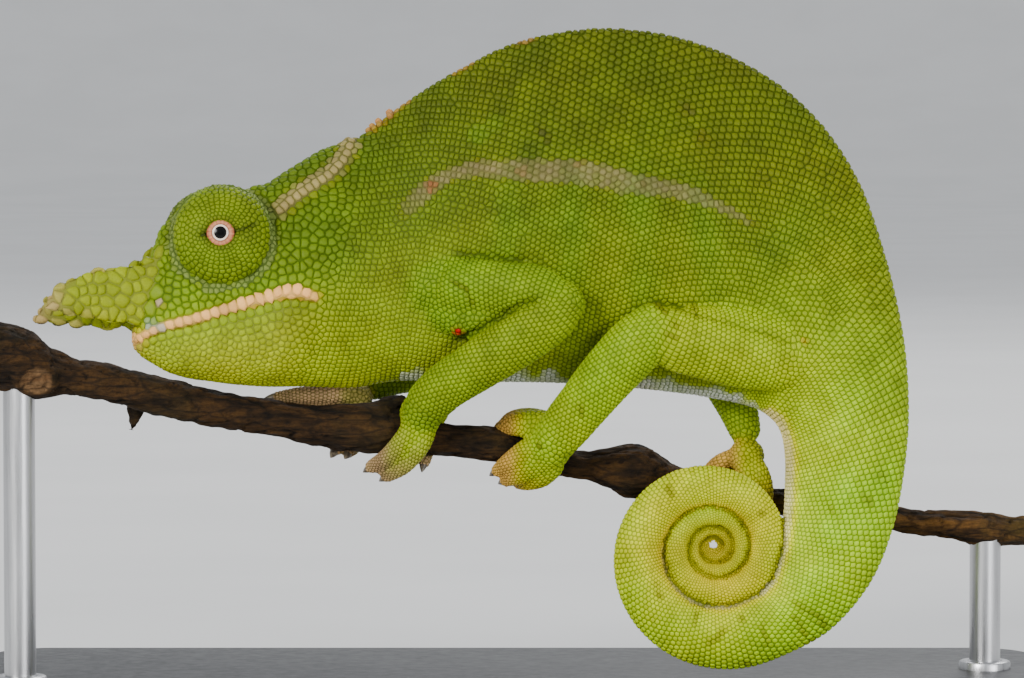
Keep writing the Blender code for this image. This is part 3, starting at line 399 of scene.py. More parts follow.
# Ladder places, and mm added to the tail there on the inside of its bend
TAIL_SWELL = ((20.5, 22.5, 24.0, 26.0, 29.0, 32.0), (0.0, 0.35, 0.75, 0.6, 0.3, 0.0))
LIP_BAND = ((0.0, 2.0, 5.0, 8.2, 9.2), (0.55, 0.74, 1.0, 1.45, 0.6))  # ladder places, height of the upper lip
HEAD_JOINS = (((-35.0, -2.2, 42.4), 2.8, 16), ((-35.0, 2.2, 42.2), 2.8, 16))  # in the straight head
BRIDGES = (  # more flesh where two parts meet: the part, then x, z, y and the two radii
    ("upper_arm_left", ((-10.2, 42.4, -2.5, 2.5, 2.0), (-8.4, 42.6, -3.4, 2.7, 2.1),
                        (-6.4, 42.7, -4.2, 2.6, 2.1))),
    ("upper_arm_left", ((-6.0, 41.2, -3.6, 2.8, 1.9), (-3.2, 39.9, -4.9, 2.7, 1.9), (0.0, 39.7, -6.0, 2.3, 1.8),
                        (2.4, 40.5, -6.8, 1.7, 1.6))),
    ("tail_tip", ((19.66, 18.05, COIL_SIDE, 0.34, 0.34), (19.66, 17.55, COIL_SIDE, 0.40, 0.40),
                  (19.25, 17.22, COIL_SIDE, 0.40, 0.40), (18.75, 17.32, COIL_SIDE, 0.40, 0.40),
                  (18.56, 17.75, COIL_SIDE, 0.36, 0.36), (18.66, 18.2, COIL_SIDE, 0.30, 0.30))),
    ("thigh_left", ((31.4, 38.0, 0.2, 3.2, 2.0), (28.8, 37.2, -1.5, 3.7, 2.3), (25.6, 36.5, -3.0, 3.8, 2.5))),
    ("thigh_right", ((31.4, 38.0, -0.6, 3.2, 2.0), (28.8, 37.2, 0.8, 3.5, 2.2), (25.6, 36.2, 2.4, 3.4, 2.4))),
    ("upper_arm_right", ((-10.0, 42.6, 2.4, 2.5, 2.0), (-6.6, 42.2, 4.1, 2.6, 2.1))),
    ("forearm_left", ((-6.4, 33.0, -5.1, 2.25, 1.95), (-8.0, 31.3, -4.0, 2.15, 1.85),
                      (-8.7, 29.9, -3.1, 1.9, 1.6))),
    ("shank_left", ((6.0, 30.5, -3.9, 2.45, 1.95), (4.4, 28.4, -2.8, 2.3, 1.85), (3.4, 27.0, -2.1, 2.1, 1.6))),
    ("hand_left_palm", ((-8.7, 29.6, -3.0, 1.75, 1.2), (-9.6, 27.8, -2.9, 1.55, 1.05),
                        (-10.9, 26.4, -2.0, 1.2, 0.95), (-12.3, 25.0, -0.8, 0.8, 0.75))),
    ("foot_left_palm", ((3.4, 26.9, -1.8, 2.1, 1.4), (1.8, 25.8, -1.4, 1.7, 1.2), (0.4, 24.9, -0.7, 1.3, 1.0),
                        (-0.7, 24.4, 0.3, 0.8, 0.7))),
    ("foot_left_palm", ((4.4, 28.9, -1.9, 1.8, 1.4), (2.2, 29.2, -0.9, 1.5, 1.3), (0.2, 29.2, 0.4, 1.2, 1.1),
                        (-1.0, 28.6, 1.8, 0.9, 0.9))),
)
FLECKS = (  # dark smudges of the near side: from, to, half-width
    (14.7, 23.5, 15.1, 22.8, 0.28), (23.4, 20.9, 23.8, 21.0, 0.22), (21.7, 19.6, 21.9, 20.0, 0.2),
    (14.2, 17.1, 14.3, 16.8, 0.26), (13.6, 14.3, 13.9, 14.0, 0.2), (13.8, 13.4, 14.0, 13.1, 0.22),
    (17.5, 11.4, 17.3, 10.5, 0.22), (18.7, 8.7, 20.0, 9.8, 0.26), (21.6, 11.3, 21.8, 10.7, 0.18),
    (26.6, 12.7, 28.4, 11.4, 0.22), (28.9, 11.4, 29.8, 10.2, 0.26), (26.7, 11.2, 27.9, 9.3, 0.2),
    (23.6, 10.5, 24.3, 8.3, 0.18), (27.9, 8.0, 28.5, 8.8, 0.3), (21.8, 6.8, 22.6, 6.6, 0.22),
    (35.0, 24.9, 35.5, 23.8, 0.2), (33.2, 22.8, 33.8, 22.0, 0.18), (29.8, 22.0, 30.2, 21.3, 0.16),
    (13.6, 40.9, 14.3, 40.3, 0.3), (14.8, 39.3, 15.5, 39.0, 0.25), (14.4, 38.2, 15.3, 37.8, 0.25),
    (16.9, 40.9, 17.3, 39.9, 0.2), (-5.6, 43.0, -4.4, 42.6, 0.22), (-4.4, 42.6, -3.7, 40.8, 0.22),
    (16.3, 59.3, 16.9, 58.9, 0.4), (2.7, 57.2, 3.4, 56.4, 0.5), (6.3, 31.4, 6.6, 30.5, 0.2),
    (2.3, 27.8, 2.7, 27.2, 0.22), (22.1, 17.5, 22.4, 16.8, 0.16), (16.9, 12.5, 17.2, 12.3, 0.2),
)
LABIAL = 0.87  # along the lips, from one scale to the next
CONES = ((-13.2, 57.4), (-12.3, 58.0), (-11.4, 58.6))  # little spines of the nape
RICHNESS = 1.4  # how much further from grey the colours are than the tables say
PART_RICHNESS = (("blade", 1.1), ("socket", 1.0), ("hand", 1.1), ("foot", 1.15))
# Painted light and shade: how much brighter or darker each place is made than its colour
LIGHT_GAIN = (  # ladder place, brightness of the upper and of the lower half of the side
    (0.0, 0.85, 1.0), (3.0, 0.74, 0.95), (7.0, 0.76, 1.05), (10.0, 0.85, 1.05), (12.0, 0.78, 0.95),
    (14.0, 0.70, 0.76), (17.0, 0.74, 0.80), (19.0, 0.95, 0.98), (21.0, 1.10, 1.15), (23.0, 1.32, 1.36),
    (26.0, 1.16, 1.18), (40.0, 1.02, 1.02), (60.0, 0.90, 0.90),
)
# Painted light and shade of the other parts, as brightness
PART_LIGHT_GAIN = (  # brightness of the other parts
    ("blade", 0.92), ("turret", 0.86), ("socket", 0.92), ("upper_arm", 0.88), ("forearm", 0.82), ("hand", 1.0),
    ("thigh", 1.0), ("shank", 1.04), ("foot", 1.05), ("tail_tip", 1.2),
)
# Lights: name, place, size in metres, power, colour
LIGHTS = (
    ("key", (-0.50, -0.72, 0.36), 0.30, 6.6, (1.0, 0.99, 0.96)),
    ("fill", (0.52, -0.70, 0.14), 0.40, 3.6, (0.98, 0.99, 1.0)),
    ("rim", (0.15, 0.55, 0.60), 0.40, 2.6, (1.0, 1.0, 1.0)),
)
LIGHTS_AIM = (0.0, 0.0, 0.04)
SKY = ((0.92, 0.95, 1.0, 1.0), 0.72)  # colour and strength
CAMERA_LENS, CAMERA_TILT = 166.5, radians(3.0)
CAMERA_AWAY, CAMERA_AIM = 0.45, 0.037345  # metres from the animal's middle plane, height it looks at
FLESH = (  # the solids that the skin stands in for
    "casque", "cranium", "lower_jaw", "rostral_blade_left", "rostral_blade_right", "eye_turret_left",
    "eye_turret_right", "neck", "trunk_front", "trunk_rear", "tail_base", "tail_bend", "tail_coil_outer",
    "tail_coil_middle", "tail_coil_inner", "upper_arm_left", "forearm_left", "hand_left", "upper_arm_right",
    "forearm_right", "hand_right", "thigh_left", "shank_left", "foot_left", "thigh_right", "shank_right",
    "foot_right",
)


# --------------------------------------------------------------------------- helpers


def smooth(rows, t):
    """Points at t, from 0 to len(rows) - 1, of a Catmull-Rom curve through the rows."""
    rows, t = np.asarray(rows, float), np.asarray(t, float)
    last = len(rows) - 1
    i = np.clip(t.astype(int), 0, last - 1)
    f = (t - i)[..., None]
    b, c = rows[i], rows[i + 1]
    a = np.where((i > 0)[..., None], rows[np.maximum(i - 1, 0)], 2 * b - c)
    d = np.where((i + 2 <= last)[..., None], rows[np.minimum(i + 2, last)], 2 * c - b)
    return 0.5 * (2 * b + (c - a) * f + (2 * a - 5 * b + 4 * c - d) * f**2 + (3 * b - a - 3 * c + d) * f**3)


def step(x, low, high):
    """0 at low and before it, 1 at high and past it, eased between them."""
    f = np.clip((np.asarray(x, float) - low) / (high - low), 0, 1)
    return f * f * (3 - 2 * f)


def hump(x, width):
    return np.exp(-((np.asarray(x, float) / width) ** 2))


def run_of(points):
    """Length along a line of points, from its first one to each."""
    return np.concatenate([[0], np.cumsum(np.linalg.norm(np.diff(points, axis=0), axis=1))])


def counted(length, width):
    """How many widths fit in each length so far, where the width changes on the way."""
    return np.concatenate([[0], np.cumsum(length / ((width[1:] + width[:-1]) / 2))])


def near_line(points, line):
    """Distance from each point to a line of points, and its share of the way along."""
    line = np.asarray(line, float)
    lengths = run_of(line)
    best = np.full(len(points), np.inf)
    where = np.zeros(len(points))
    for i in range(len(line) - 1):
        a, b = line[i], line[i + 1]
        ab = b - a
        f = np.clip(((points - a) @ ab) / max(ab @ ab, 1e-12), 0, 1)
        d = np.linalg.norm(points - a - f[:, None] * ab, axis=1)
        closer = d < best
        best[closer] = d[closer]
        where[closer] = (lengths[i] + f[closer] * (lengths[i + 1] - lengths[i])) / max(lengths[-1], 1e-9)
    return best, where


def away(flat, x, z):
    return np.hypot(flat[:, 0] - x, flat[:, 1] - z)


def unit(vectors):
    return vectors / np.maximum(np.linalg.norm(vectors, axis=-1, keepdims=True), 1e-9)


def kd_tree(points):
    tree = KDTree(len(points))
    for i, point in enumerate(points):
        tree.insert(point, i)
    tree.balance()
    return tree


def placed(points, pose):
    matrix = np.array(pose)
    return points @ matrix[:3, :3].T + matrix[:3, 3]


# --------------------------------------------------------------------------- the solids' own shapes


def coil_boundary(angle):
    """Distance from the coil's centre to the line between two turns."""
    squash = 1 - COIL_FLATTER * (1 - cos(radians(angle))) / 2
    return COIL_RADIUS * squash * np.exp(-COIL_DECAY * angle)


def coil_row(angle):
    """A ladder section across the tail, this many degrees into the spiral."""
    outer = coil_boundary(angle) + SKIN_DEPTH - COIL_GROOVE / 2
    inner = max(coil_boundary(angle + 360) - SKIN_DEPTH + COIL_GROOVE / 2, 0.0)
    taper = min(1.0, (COIL_LAST + 25 - angle) / 130)
    middle, half = (outer + inner) / 2, (outer - inner) / 2 * taper
    outer, inner = middle + half, middle - half
    turn = radians(angle)
    across = (-sin(turn), -cos(turn))
    depth = half * (0.68 + 0.32 * min(1.0, max(0.0, angle) / 700))
    points = [COIL_CENTRE[i] + across[i] * r for r in (outer, inner) for i in (0, 1)]
    return (*points, COIL_SIDE, 0.66 * depth, depth, 0.7 * depth)


# The ladder is the list of sections from the lips to the tip of the tail. A place on it, t, is
# a row number, and share is the way from the back to the belly.
COIL = tuple(coil_row(angle) for angle in range(COIL_START, COIL_LAST + 1, COIL_STEP))
LADDER = HEAD + TRUNK + COIL
CASQUE_TIP = len(HEAD) - 1
SHOULDER = CASQUE_TIP + 2
COIL_FIRST = len(HEAD) + len(TRUNK)
LAST = len(LADDER) - 1
HEAD_MATRIX = np.array(Matrix.Rotation(HEAD_TURN, 3, "Z") @ Matrix.Rotation(-HEAD_ROLL, 3, "X"))


def half_width(share, widths):
    """Half-width at a share of the height: an ellipse scaled by a curve through three widths."""
    nodes = (0.15, 0.5, 0.85)
    full = 0.0
    for i, place in enumerate(nodes):
        term = widths[..., i] / (2 * np.sqrt(place * (1 - place)))
        for other in nodes:
            if other != place:
                term = term * (share - other) / (place - other)
        full = full + term
    return 2 * np.sqrt(np.maximum(share * (1 - share), 0.0)) * np.maximum(full, 0.02)


def posed(points):
    """Points of the straight head, rolled and turned about the neck."""
    return (np.asarray(points, float) - HEAD_PIVOT) @ HEAD_MATRIX.T + HEAD_PIVOT


def unposed(points):
    return (np.asarray(points, float) - HEAD_PIVOT) @ HEAD_MATRIX + HEAD_PIVOT


def pose_share(t):
    """How much of the head's turn a ladder place takes: all of it on the head, none past the shoulder."""
    part = np.clip((SHOULDER - np.asarray(t, float)) / (SHOULDER - CASQUE_TIP), 0, 1)
    return part * part * (3 - 2 * part)


def section(t):
    """Back and belly points in x, z, the middle's y, the half-widths and the height."""
    row = smooth(LADDER, t)
    back, belly = row[..., 0:2], row[..., 2:4]
    swell = np.interp(t, *TAIL_SWELL)[..., None]
    down = belly - back
    belly = belly + swell * down / np.linalg.norm(down, axis=-1, keepdims=True)
    return back, belly, row[..., 4], row[..., 5:8], np.linalg.norm(belly - back, axis=-1)


def angle_at(share):
    """The angle from the back, by the left side, at which a section reaches this share."""
    return np.arccos(np.clip(1 - 2 * share, -1, 1))


def body_points(t, phi, inset=0.0):
    """Points of the body at ladder places t, phi from 0 at the back, by the left side, to the belly at pi."""
    t, phi = np.broadcast_arrays(np.asarray(t, float), np.asarray(phi, float))
    back, belly, side, widths, height = section(t)
    share = (1 - np.cos(phi)) / 2
    along = inset / height + share * (1 - 2 * inset / height)
    flat = back + (belly - back) * along[..., None]
    half = half_width(share, np.maximum(widths - inset, 0.05))
    y = side + np.where(np.sin(phi) > 0, -half, half)
    points = np.stack([flat[..., 0], y, flat[..., 1]], -1)
    return points + (posed(points) - points) * pose_share(t)[..., None]


def limb_points(rows, s, phi, inset=0.0):
    """Points round a path of x, z, y, side-view radius and depth radius; its ends are rounded."""
    s, phi = np.broadcast_arrays(np.asarray(s, float), np.asarray(phi, float))
    last = len(rows) - 1
    inner = np.clip(s, 0, last)
    value, ahead, behind = (smooth(rows, np.clip(inner + d, 0, last)) for d in (0.0, 0.1, -0.1))
    spine = value[..., [0, 2, 1]]
    along = (ahead - behind)[..., [0, 2, 1]]
    along /= np.linalg.norm(along, axis=-1, keepdims=True)
    across = np.cross((0.0, 1.0, 0.0), along)
    across /= np.linalg.norm(across, axis=-1, keepdims=True)
    depth = np.cross(along, across)
    past = np.clip(np.abs(s - inner), 0, 1) * pi / 2
    radii = value[..., 3:5] - inset
    centre = spine + along * (np.sign(s - inner) * np.sin(past) * 0.9 * radii.min(-1))[..., None]
    shrink = np.cos(past)
    wide, deep = radii[..., 0] * shrink, radii[..., 1] * shrink
    return centre + across * (wide * np.cos(phi))[..., None] + depth * (deep * np.sin(phi))[..., None]


def blade_points(side, s, phi, inset=0.0):
    s, phi = np.broadcast_arrays(np.asarray(s, float), np.asarray(phi, float))
    row = smooth(BLADE, s)
    share = (1 - np.cos(phi)) / 2
    thick = np.where(share < 0.5, row[..., 5] + (row[..., 6] - row[..., 5]) * share * 2,
                     row[..., 6] + (row[..., 7] - row[..., 6]) * (share * 2 - 1))
    half = (0.55 + 0.45 * np.abs(np.sin(phi))) * thick - inset
    y = WAY[side] * row[..., 4] + half * np.sign(np.sin(phi)) * np.minimum(1.0, 1.6 * np.abs(np.sin(phi)))
    height = np.hypot(row[..., 2] - row[..., 0], row[..., 3] - row[..., 1])
    share = inset / height + share * (1 - 2 * inset / height)
    x = row[..., 0] + (row[..., 2] - row[..., 0]) * share
    z = row[..., 1] + (row[..., 3] - row[..., 1]) * share
    root, droop, shift = BLADE[-2], BLADE_DROOP[side], BLADE_SHIFT[side]
    dx, dz = x - root[0], z - root[1]
    x = root[0] + dx * cos(droop) - dz * sin(droop) + shift[0]
    z = root[1] + dz * cos(droop) + dx * sin(droop) + shift[1]
    return posed(np.stack([x, y, z], -1))


def eye_pose(side):
    """Where the turret's axis starts inside the skull, and its direction, in the posed head."""
    way = WAY[side]
    start = np.array((EYE_CENTRE[0], way * EYE_FLOOR, EYE_CENTRE[1]))
    axis = np.array((EYE_AXIS[0], way * EYE_AXIS[1], EYE_AXIS[2]))
    start, tip = Vector(posed(start)), Vector(posed(start + axis))
    return Matrix.Translation(start) @ (tip - start).to_track_quat("Z", "Y").to_matrix().to_4x4()


def turret_points(pose, s, phi, inset=0.0):
    """The turned eyelid, slightly flatter than a circle near the pupil."""
    s, phi = np.broadcast_arrays(np.asarray(s, float), np.asarray(phi, float))
    value = smooth(TURRET, s)
    radius = np.maximum(value[..., 0], 0.0) * np.where(s < 6.5, TURRET_SHARE, 1.0)
    radius = np.where(s > 6.5, radius, np.maximum(radius - inset, 0.0))
    height = value[..., 1] - inset * (s > 2.5)
    flatten = 1 - LID_FLATTER * step(radius, 2.3, 1.4)
    return placed(np.stack([radius * np.cos(phi), radius * flatten * np.sin(phi), height], -1), pose)


def socket_points(pose, angle, phi, inset=0.0):
    """The raised rim round an eye: a ring that is thickest over the eye, as a brow, and under it."""
    angle, phi = np.broadcast_arrays(np.asarray(angle, float), np.asarray(phi, float))
    low = np.clip(-np.sin(angle), 0, 1)
    tube = SOCKET_TUBE + 0.13 * low - inset
    radius = SOCKET_RADIUS + 0.42 * low + tube * np.cos(phi)
    height = SOCKET_HEIGHT + 0.25 * np.clip(np.sin(angle + 0.5), 0, 1) + tube * np.sin(phi)
    return placed(np.stack([radius * np.cos(angle), radius * np.sin(angle), height], -1), pose)


# --------------------------------------------------------------------------- meshes


def ring_faces(rings, n):
    """Four-sided faces between rings of n points each."""
    i, k = np.divmod(np.arange((rings - 1) * n), n)
    nxt = (k + 1) % n
    quads = np.stack([i * n + k, i * n + nxt, (i + 1) * n + nxt, (i + 1) * n + k], 1)
    return [tuple(quad) for quad in quads.tolist()]


def tube(grid, first, last):
    """Points and faces of a tube of rings, closed by fans round a first and a last point."""
    rings, n = grid.shape[:2]
    faces = ring_faces(rings, n)
    end = (rings - 1) * n
    for k in range(n):
        nxt = (k + 1) % n
        faces += [(k, rings * n, nxt), (end + nxt, rings * n + 1, end + k)]
    return np.vstack([grid.reshape(-1, 3), first, last]), faces


def revolve(profile, segments, pose):
    """Points and faces of a closed turned shape; the profile starts and ends on the axis."""
    angles = np.arange(segments) * 2 * pi / segments
    grid = np.array([[(r * cos(a), r * sin(a), h) for a in angles] for r, h in profile[1:-1]])
    points, faces = tube(grid, (0, 0, profile[0][1]), (0, 0, profile[-1][1]))
    return placed(points, pose), faces


def joined(parts):
    """Points and faces of several meshes as one."""
    points, faces, start = [], [], 0
    for some, around in parts:
        points.append(some)
        faces += [tuple(k + start for k in face) for face in around]
        start += len(some)
    return np.vstack(points), faces


def link(thing):
    bpy.context.scene.collection.objects.link(thing)
    return thing


def new_object(name, points, faces, material=None, scale=MM):
    mesh = bpy.data.meshes.new(name)
    mesh.from_pydata((np.asarray(points) * scale).tolist(), [], np.asarray(faces).tolist()
                     if isinstance(faces, np.ndarray) else faces)
    mesh.update()
    mesh.shade_smooth()
    if material:
        mesh.materials.append(material)
    return link(bpy.data.objects.new(name, mesh))


def voxel_union(parts, voxel):
    """One surface round several closed meshes: its points in mm and its faces, all of four sides."""
    thing = new_object("union", *joined(parts), scale=1.0)
    change = thing.modifiers.new("remesh", "REMESH")
    change.mode, change.voxel_size, change.adaptivity = "VOXEL", voxel, 0.0
    found = thing.evaluated_get(bpy.context.evaluated_depsgraph_get()).to_mesh()
    points = np.empty(len(found.vertices) * 3, np.float32)
    found.vertices.foreach_get("co", points)
    corners = np.empty(len(found.loops), np.int32)
    found.loops.foreach_get("vertex_index", corners)
    bpy.data.objects.remove(thing)
    return points.reshape(-1, 3).astype(float), corners.reshape(-1, 4).astype(int)


def gather(index, values, count):
    """Sums of the rows of values by index."""
    return np.stack([np.bincount(index, values[:, k], minlength=count) for k in range(values.shape[1])], 1)


def normals_of(points, faces):
    a, b, c, d = (points[faces[:, k]] for k in range(4))
    flat = np.cross(c - a, d - b)
    total = gather(faces.ravel(), np.repeat(flat, 4, axis=0), len(points))
    return total / np.maximum(np.linalg.norm(total, axis=1, keepdims=True), 1e-12)


def paint_mesh(mesh, colour, tone, relief, edge):
    """Gives a mesh what its material reads: colour and tone, height in a scale, paleness of its edge."""
    layer = mesh.color_attributes.new("marking", "FLOAT_COLOR", "POINT")
    layer.data.foreach_set("color", np.column_stack([colour, tone]).astype(np.float32).ravel())
    for name, values in (("relief", relief), ("edge", edge)):
        layer = mesh.attributes.new(name, "FLOAT", "POINT")
        layer.data.foreach_set("value", np.asarray(values, np.float32))


class Links:
    """The edges of a mesh, for averaging over neighbours."""

    def __init__(self, faces, count):
        ends = np.concatenate([faces[:, [k, (k + 1) % 4]] for k in range(4)])
        ends = np.unique(np.sort(ends, axis=1), axis=0)
        self.index, self.other = ends.ravel(), ends[:, ::-1].ravel()
        self.count = count
        self.number = np.maximum(np.bincount(self.index, minlength=count), 1)[:, None]

    def relax(self, values, times, share):
        """Values drawn towards their neighbours' mean; share is one number or one for each point."""
        flat = values.ndim == 1
        values = values[:, None] if flat else values
        for _ in range(times):
            mean = gather(self.index, values[self.other], self.count) / self.number
            values = values + (mean - values) * share
        return values[:, 0] if flat else values


# --------------------------------------------------------------------------- charts
# A chart is one length of the animal with a grid of points over it: rows along it, columns round it.


class Chart:
    def __init__(self, name, kind, shape, rows, columns, inset):
        """shape(row value, column angle, inset) gives points in mm."""
        self.name, self.kind, self.shape = name, kind, shape
        self.rows = np.asarray(rows, float)
        self.phi = np.arange(columns) * 2 * pi / columns
        self.grid = shape(self.rows[:, None], self.phi[None, :], inset)

    def mesh(self):
        return tube(self.grid, self.grid[0].mean(0), self.grid[-1].mean(0))


def limb_chart(name, kind, rows, each, columns, inset):
    """A chart round a path with rounded ends, with each grid rows from one row of the path to the next."""
    last = len(rows) - 1
    ends = np.array([0.97, 0.85, 0.65, 0.42, 0.2])
    places = np.concatenate([-ends, np.linspace(0, last, last * each + 1), last + ends[::-1]])
    return Chart(name, kind, lambda s, p, i: limb_points(rows, s, p, i), places, columns, inset)


def rounded(path):
    """Rows of a round limb from x, z, y and one radius."""
    return tuple((x, z, y, r, r) for x, z, y, r in path)


def make_charts():
    rows = [np.arange(0, CASQUE_TIP, 1 / 8), np.arange(CASQUE_TIP, COIL_FIRST, 1 / 20),
            np.linspace(COIL_FIRST, LAST, (LAST - COIL_FIRST) * 8 + 1)]
    charts = [Chart("body", "body", body_points, np.concatenate(rows), 64, SKIN_DEPTH)]
    for name, rows in LEGS.items():
        charts.append(limb_chart(name, "limb", rows, 12, 36, LIMB_DEPTH))
    for name, shape in FEET.items():
        x, z, y, wide, deep = shape["palm"]
        rows = ((x - 0.4, z + 0.1, y, wide, deep), (x + 0.4, z - 0.1, y, wide, deep))
        charts.append(limb_chart(f"{name}_palm", "palm", rows, 4, 28, LIMB_DEPTH))
        for k, toe in enumerate(shape["toes"]):
            charts.append(limb_chart(f"{name}_toe_{k}", "toe", rounded(toe), 8, 20, TOE_DEPTH))
    for name, rows in BRIDGES:
        kind, each = ("palm", 6) if name.endswith("palm") else ("bridge", 8)
        charts.append(limb_chart(name, kind, rows, each, 32, LIMB_DEPTH))
    for side in WAY:
        pose = eye_pose(side)
        rows = np.concatenate([np.linspace(0.02, 7, 57),
                               [7.2, 7.4, 7.6, 7.8, 8, 8.3, 8.6, 8.9, 9.0, 9.3, 9.6, 9.9]])
        charts.append(Chart(f"turret_{side}", "turret", partial(turret_points, pose), rows, 60, SKIN_DEPTH))
        charts.append(Chart(f"socket_{side}", "socket", partial(socket_points, pose),
                            np.linspace(0, 2 * pi, 73), 18, SKIN_DEPTH))
        charts.append(Chart(f"blade_{side}", "blade", partial(blade_points, side),
                            np.linspace(0.0, len(BLADE) - 1, 41), 28, BLADE_DEPTH))
    return charts


# --------------------------------------------------------------------------- the skin


def refine(points, t, rounds=4):
    """The ladder place and share of the height of points near the body, from a first guess of the place."""
    flat = points + (unposed(points) - points) * pose_share(t)[:, None]
    x, z = flat[:, 0], flat[:, 2]

    def off(t):
        back, belly, _, _, height = section(t)
        u = (belly - back) / height[:, None]
        return (x - back[:, 0]) * u[:, 1] - (z - back[:, 1]) * u[:, 0]

    t = np.clip(t, 0.02, LAST - 0.02)
    for _ in range(rounds):
        slope = (off(t + 0.01) - off(t - 0.01)) / 0.02
        slope = np.where(np.abs(slope) < 1e-6, 1e-6, slope)
        t = np.clip(t - np.clip(off(t) / slope, -0.4, 0.4), 0.02, LAST - 0.02)
    back, belly, side, _, height = section(t)
    u = (belly - back) / height[:, None]
    share = ((x - back[:, 0]) * u[:, 0] + (z - back[:, 1]) * u[:, 1]) / height
    return t, np.clip(share, 0, 1), np.sign(flat[:, 1] - side), flat


class Surface:
    """The skin's points, where each lies on the charts, and what is painted there."""

    def __init__(self, charts):
        self.charts = charts
        self.points, self.faces = voxel_union([chart.mesh() for chart in charts], VOXEL)
        self.links = Links(self.faces, len(self.points))
        self.locate()

    def locate(self):
        """Chart, row and angle of each point, and on the body its exact place."""
        charts = self.charts
        tree = kd_tree(np.vstack([chart.grid.reshape(-1, 3) for chart in charts]))
        found = np.array([tree.find(point)[1] for point in self.points])
        sizes = [len(chart.rows) * len(chart.phi) for chart in charts]
        self.chart = np.repeat(np.arange(len(charts)), sizes)[found]
        self.row = np.concatenate([np.repeat(chart.rows, len(chart.phi)) for chart in charts])[found]
        self.phi = np.concatenate([np.tile(chart.phi, len(chart.rows)) for chart in charts])[found]
        self.flat = self.points.copy()
        self.share = np.zeros(len(found))
        self.body = body = self.chart == 0
        t, share, side, flat = refine(self.points[body], self.row[body])
        self.row[body], self.share[body], self.flat[body] = t, share, flat
        half = angle_at(share)
        self.phi[body] = np.where(side < 0, half, 2 * pi - half)

    def names(self, *starts):
        """Which points lie on charts whose names start so."""
        wanted = [i for i, chart in enumerate(self.charts) if chart.name.startswith(starts)]
        return np.isin(self.chart, wanted)

    def head_flat(self):
        """x and z of each point in the straight head."""
        return unposed(self.points)[:, [0, 2]]

    def on_side(self, side):
        """Which points lie on this side of the straight head."""
        return np.sign(unposed(self.points)[:, 1]) == WAY[side]

    def below_mouth(self):
        """Height under the mouth line in mm, up is negative, for points of the head; far from it elsewhere."""
        found = (self.share - mouth_at(self.row)) * section(self.row)[4]
        return np.where(self.body & (self.row < CASQUE_TIP), found, FAR)

    def turn_line(self):
        """1 where two turns of the tail touch, fading to 0 beside it."""
        inside = self.body[self.faces].all(1)
        jump = inside & (np.ptp(self.row[self.faces], axis=1) > 6)
        mark = np.zeros(len(self.points))
        mark[self.faces[jump]] = 1
        mark = self.links.relax(mark, 1, 0.4)
        return mark * np.interp(self.row, (COIL_FIRST + 30, COIL_FIRST + 60), (1.0, 0.6))

    def from_eye(self, side):
        """Distance from the axis of the eye, and each point as the eye's pose sees it."""
        local = placed(self.points, eye_pose(side).inverted())
        return np.hypot(local[:, 0], local[:, 1]), local


def mouth_at(t):
    return smooth([[m] for m in MOUTH], np.clip(t, 0, CASQUE_TIP))[..., 0]


def soften(surface):
    """Rounds off the joins of the limbs with the body, and the whole skin a little."""
    links = surface.links
    coil = surface.body & (surface.row > COIL_FIRST + 2)
    share = np.where(surface.names("hand", "foot"), 0.3, np.where(coil, 0.25, 0.5))
    points = links.relax(surface.points, 3, share[:, None])
    in_head = [(posed(centre), reach, times) for centre, reach, times in HEAD_JOINS]
    for centre, reach, times in [*JOINS, *in_head]:
        near = step(np.linalg.norm(points - np.array(centre), axis=1), reach, 0.55 * reach)
        points = links.relax(points, times, (near * (0.5 * ~coil))[:, None])
    surface.points = points


def carve(surface):
    """Folds, lips, crests and pits: each moves the skin along its normals."""
    points = surface.points
    normals = normals_of(points, surface.faces)
    push = np.zeros(len(points))
    t, dm = surface.row, surface.below_mouth()
    mouth = step(t, 0.0, 0.3) * step(t, MOUTH_END + 0.25, MOUTH_END - 0.25)
    push -= 0.28 * hump(dm, 0.17) * mouth
    push += 0.10 * hump(dm + 0.48, 0.42) * mouth
    push += 0.07 * hump(dm - 0.35, 0.30) * mouth
    on_head = surface.body & (t < CASQUE_TIP + 1)
    flat = surface.head_flat()
    crest, along = near_line(flat, CREST_LINE)
    push += np.where(on_head, 0.34 * hump(crest, 0.42) * step(along, 0.0, 0.1), 0.0)
    push -= np.where(on_head, 0.12 * hump(crest - 1.1, 0.5) * (along > 0.05), 0.0)
    pit, _ = near_line(flat, (NOSTRIL, NOSTRIL))
    for side in WAY:
        distance, local = surface.from_eye(side)
        here = surface.on_side(side) & on_head
        push -= np.where(here, 0.22 * hump(distance - 5.25, 0.28), 0.0)
        push += np.where(here, 0.12 * hump(distance - 5.75, 0.3), 0.0)
        ring = surface.names(f"turret_{side}", f"socket_{side}") & (local[:, 2] > -1.5)
        push -= np.where(ring, 0.24 * hump(distance - LID_GROOVE, 0.2), 0.0)
        lid = surface.names(f"turret_{side}") & (local[:, 2] > 1.5)
        for line in LID_SLITS:
            slit, along = near_line(local[:, :2], line)
            push -= np.where(lid, 0.30 * hump(slit, 0.14) * step(along, 1.0, 0.6), 0.0)
        push -= np.where(here, 0.3 * hump(pit, 0.22), 0.0)
    for line, deep, wide in FOLDS:
        fold, along = near_line(points[:, [0, 2]], line)
        crease = deep * hump(fold, wide) * step(along, 0.0, 0.12) * step(along, 1.0, 0.88)
        push -= crease * step(points[:, 1], -3.0, -4.2)
    push -= 0.36 * surface.turn_line()
    surface.points = surface.links.relax(points + normals * push[:, None], 1, 0.25)
    surface.normals = normals_of(surface.points, surface.faces)


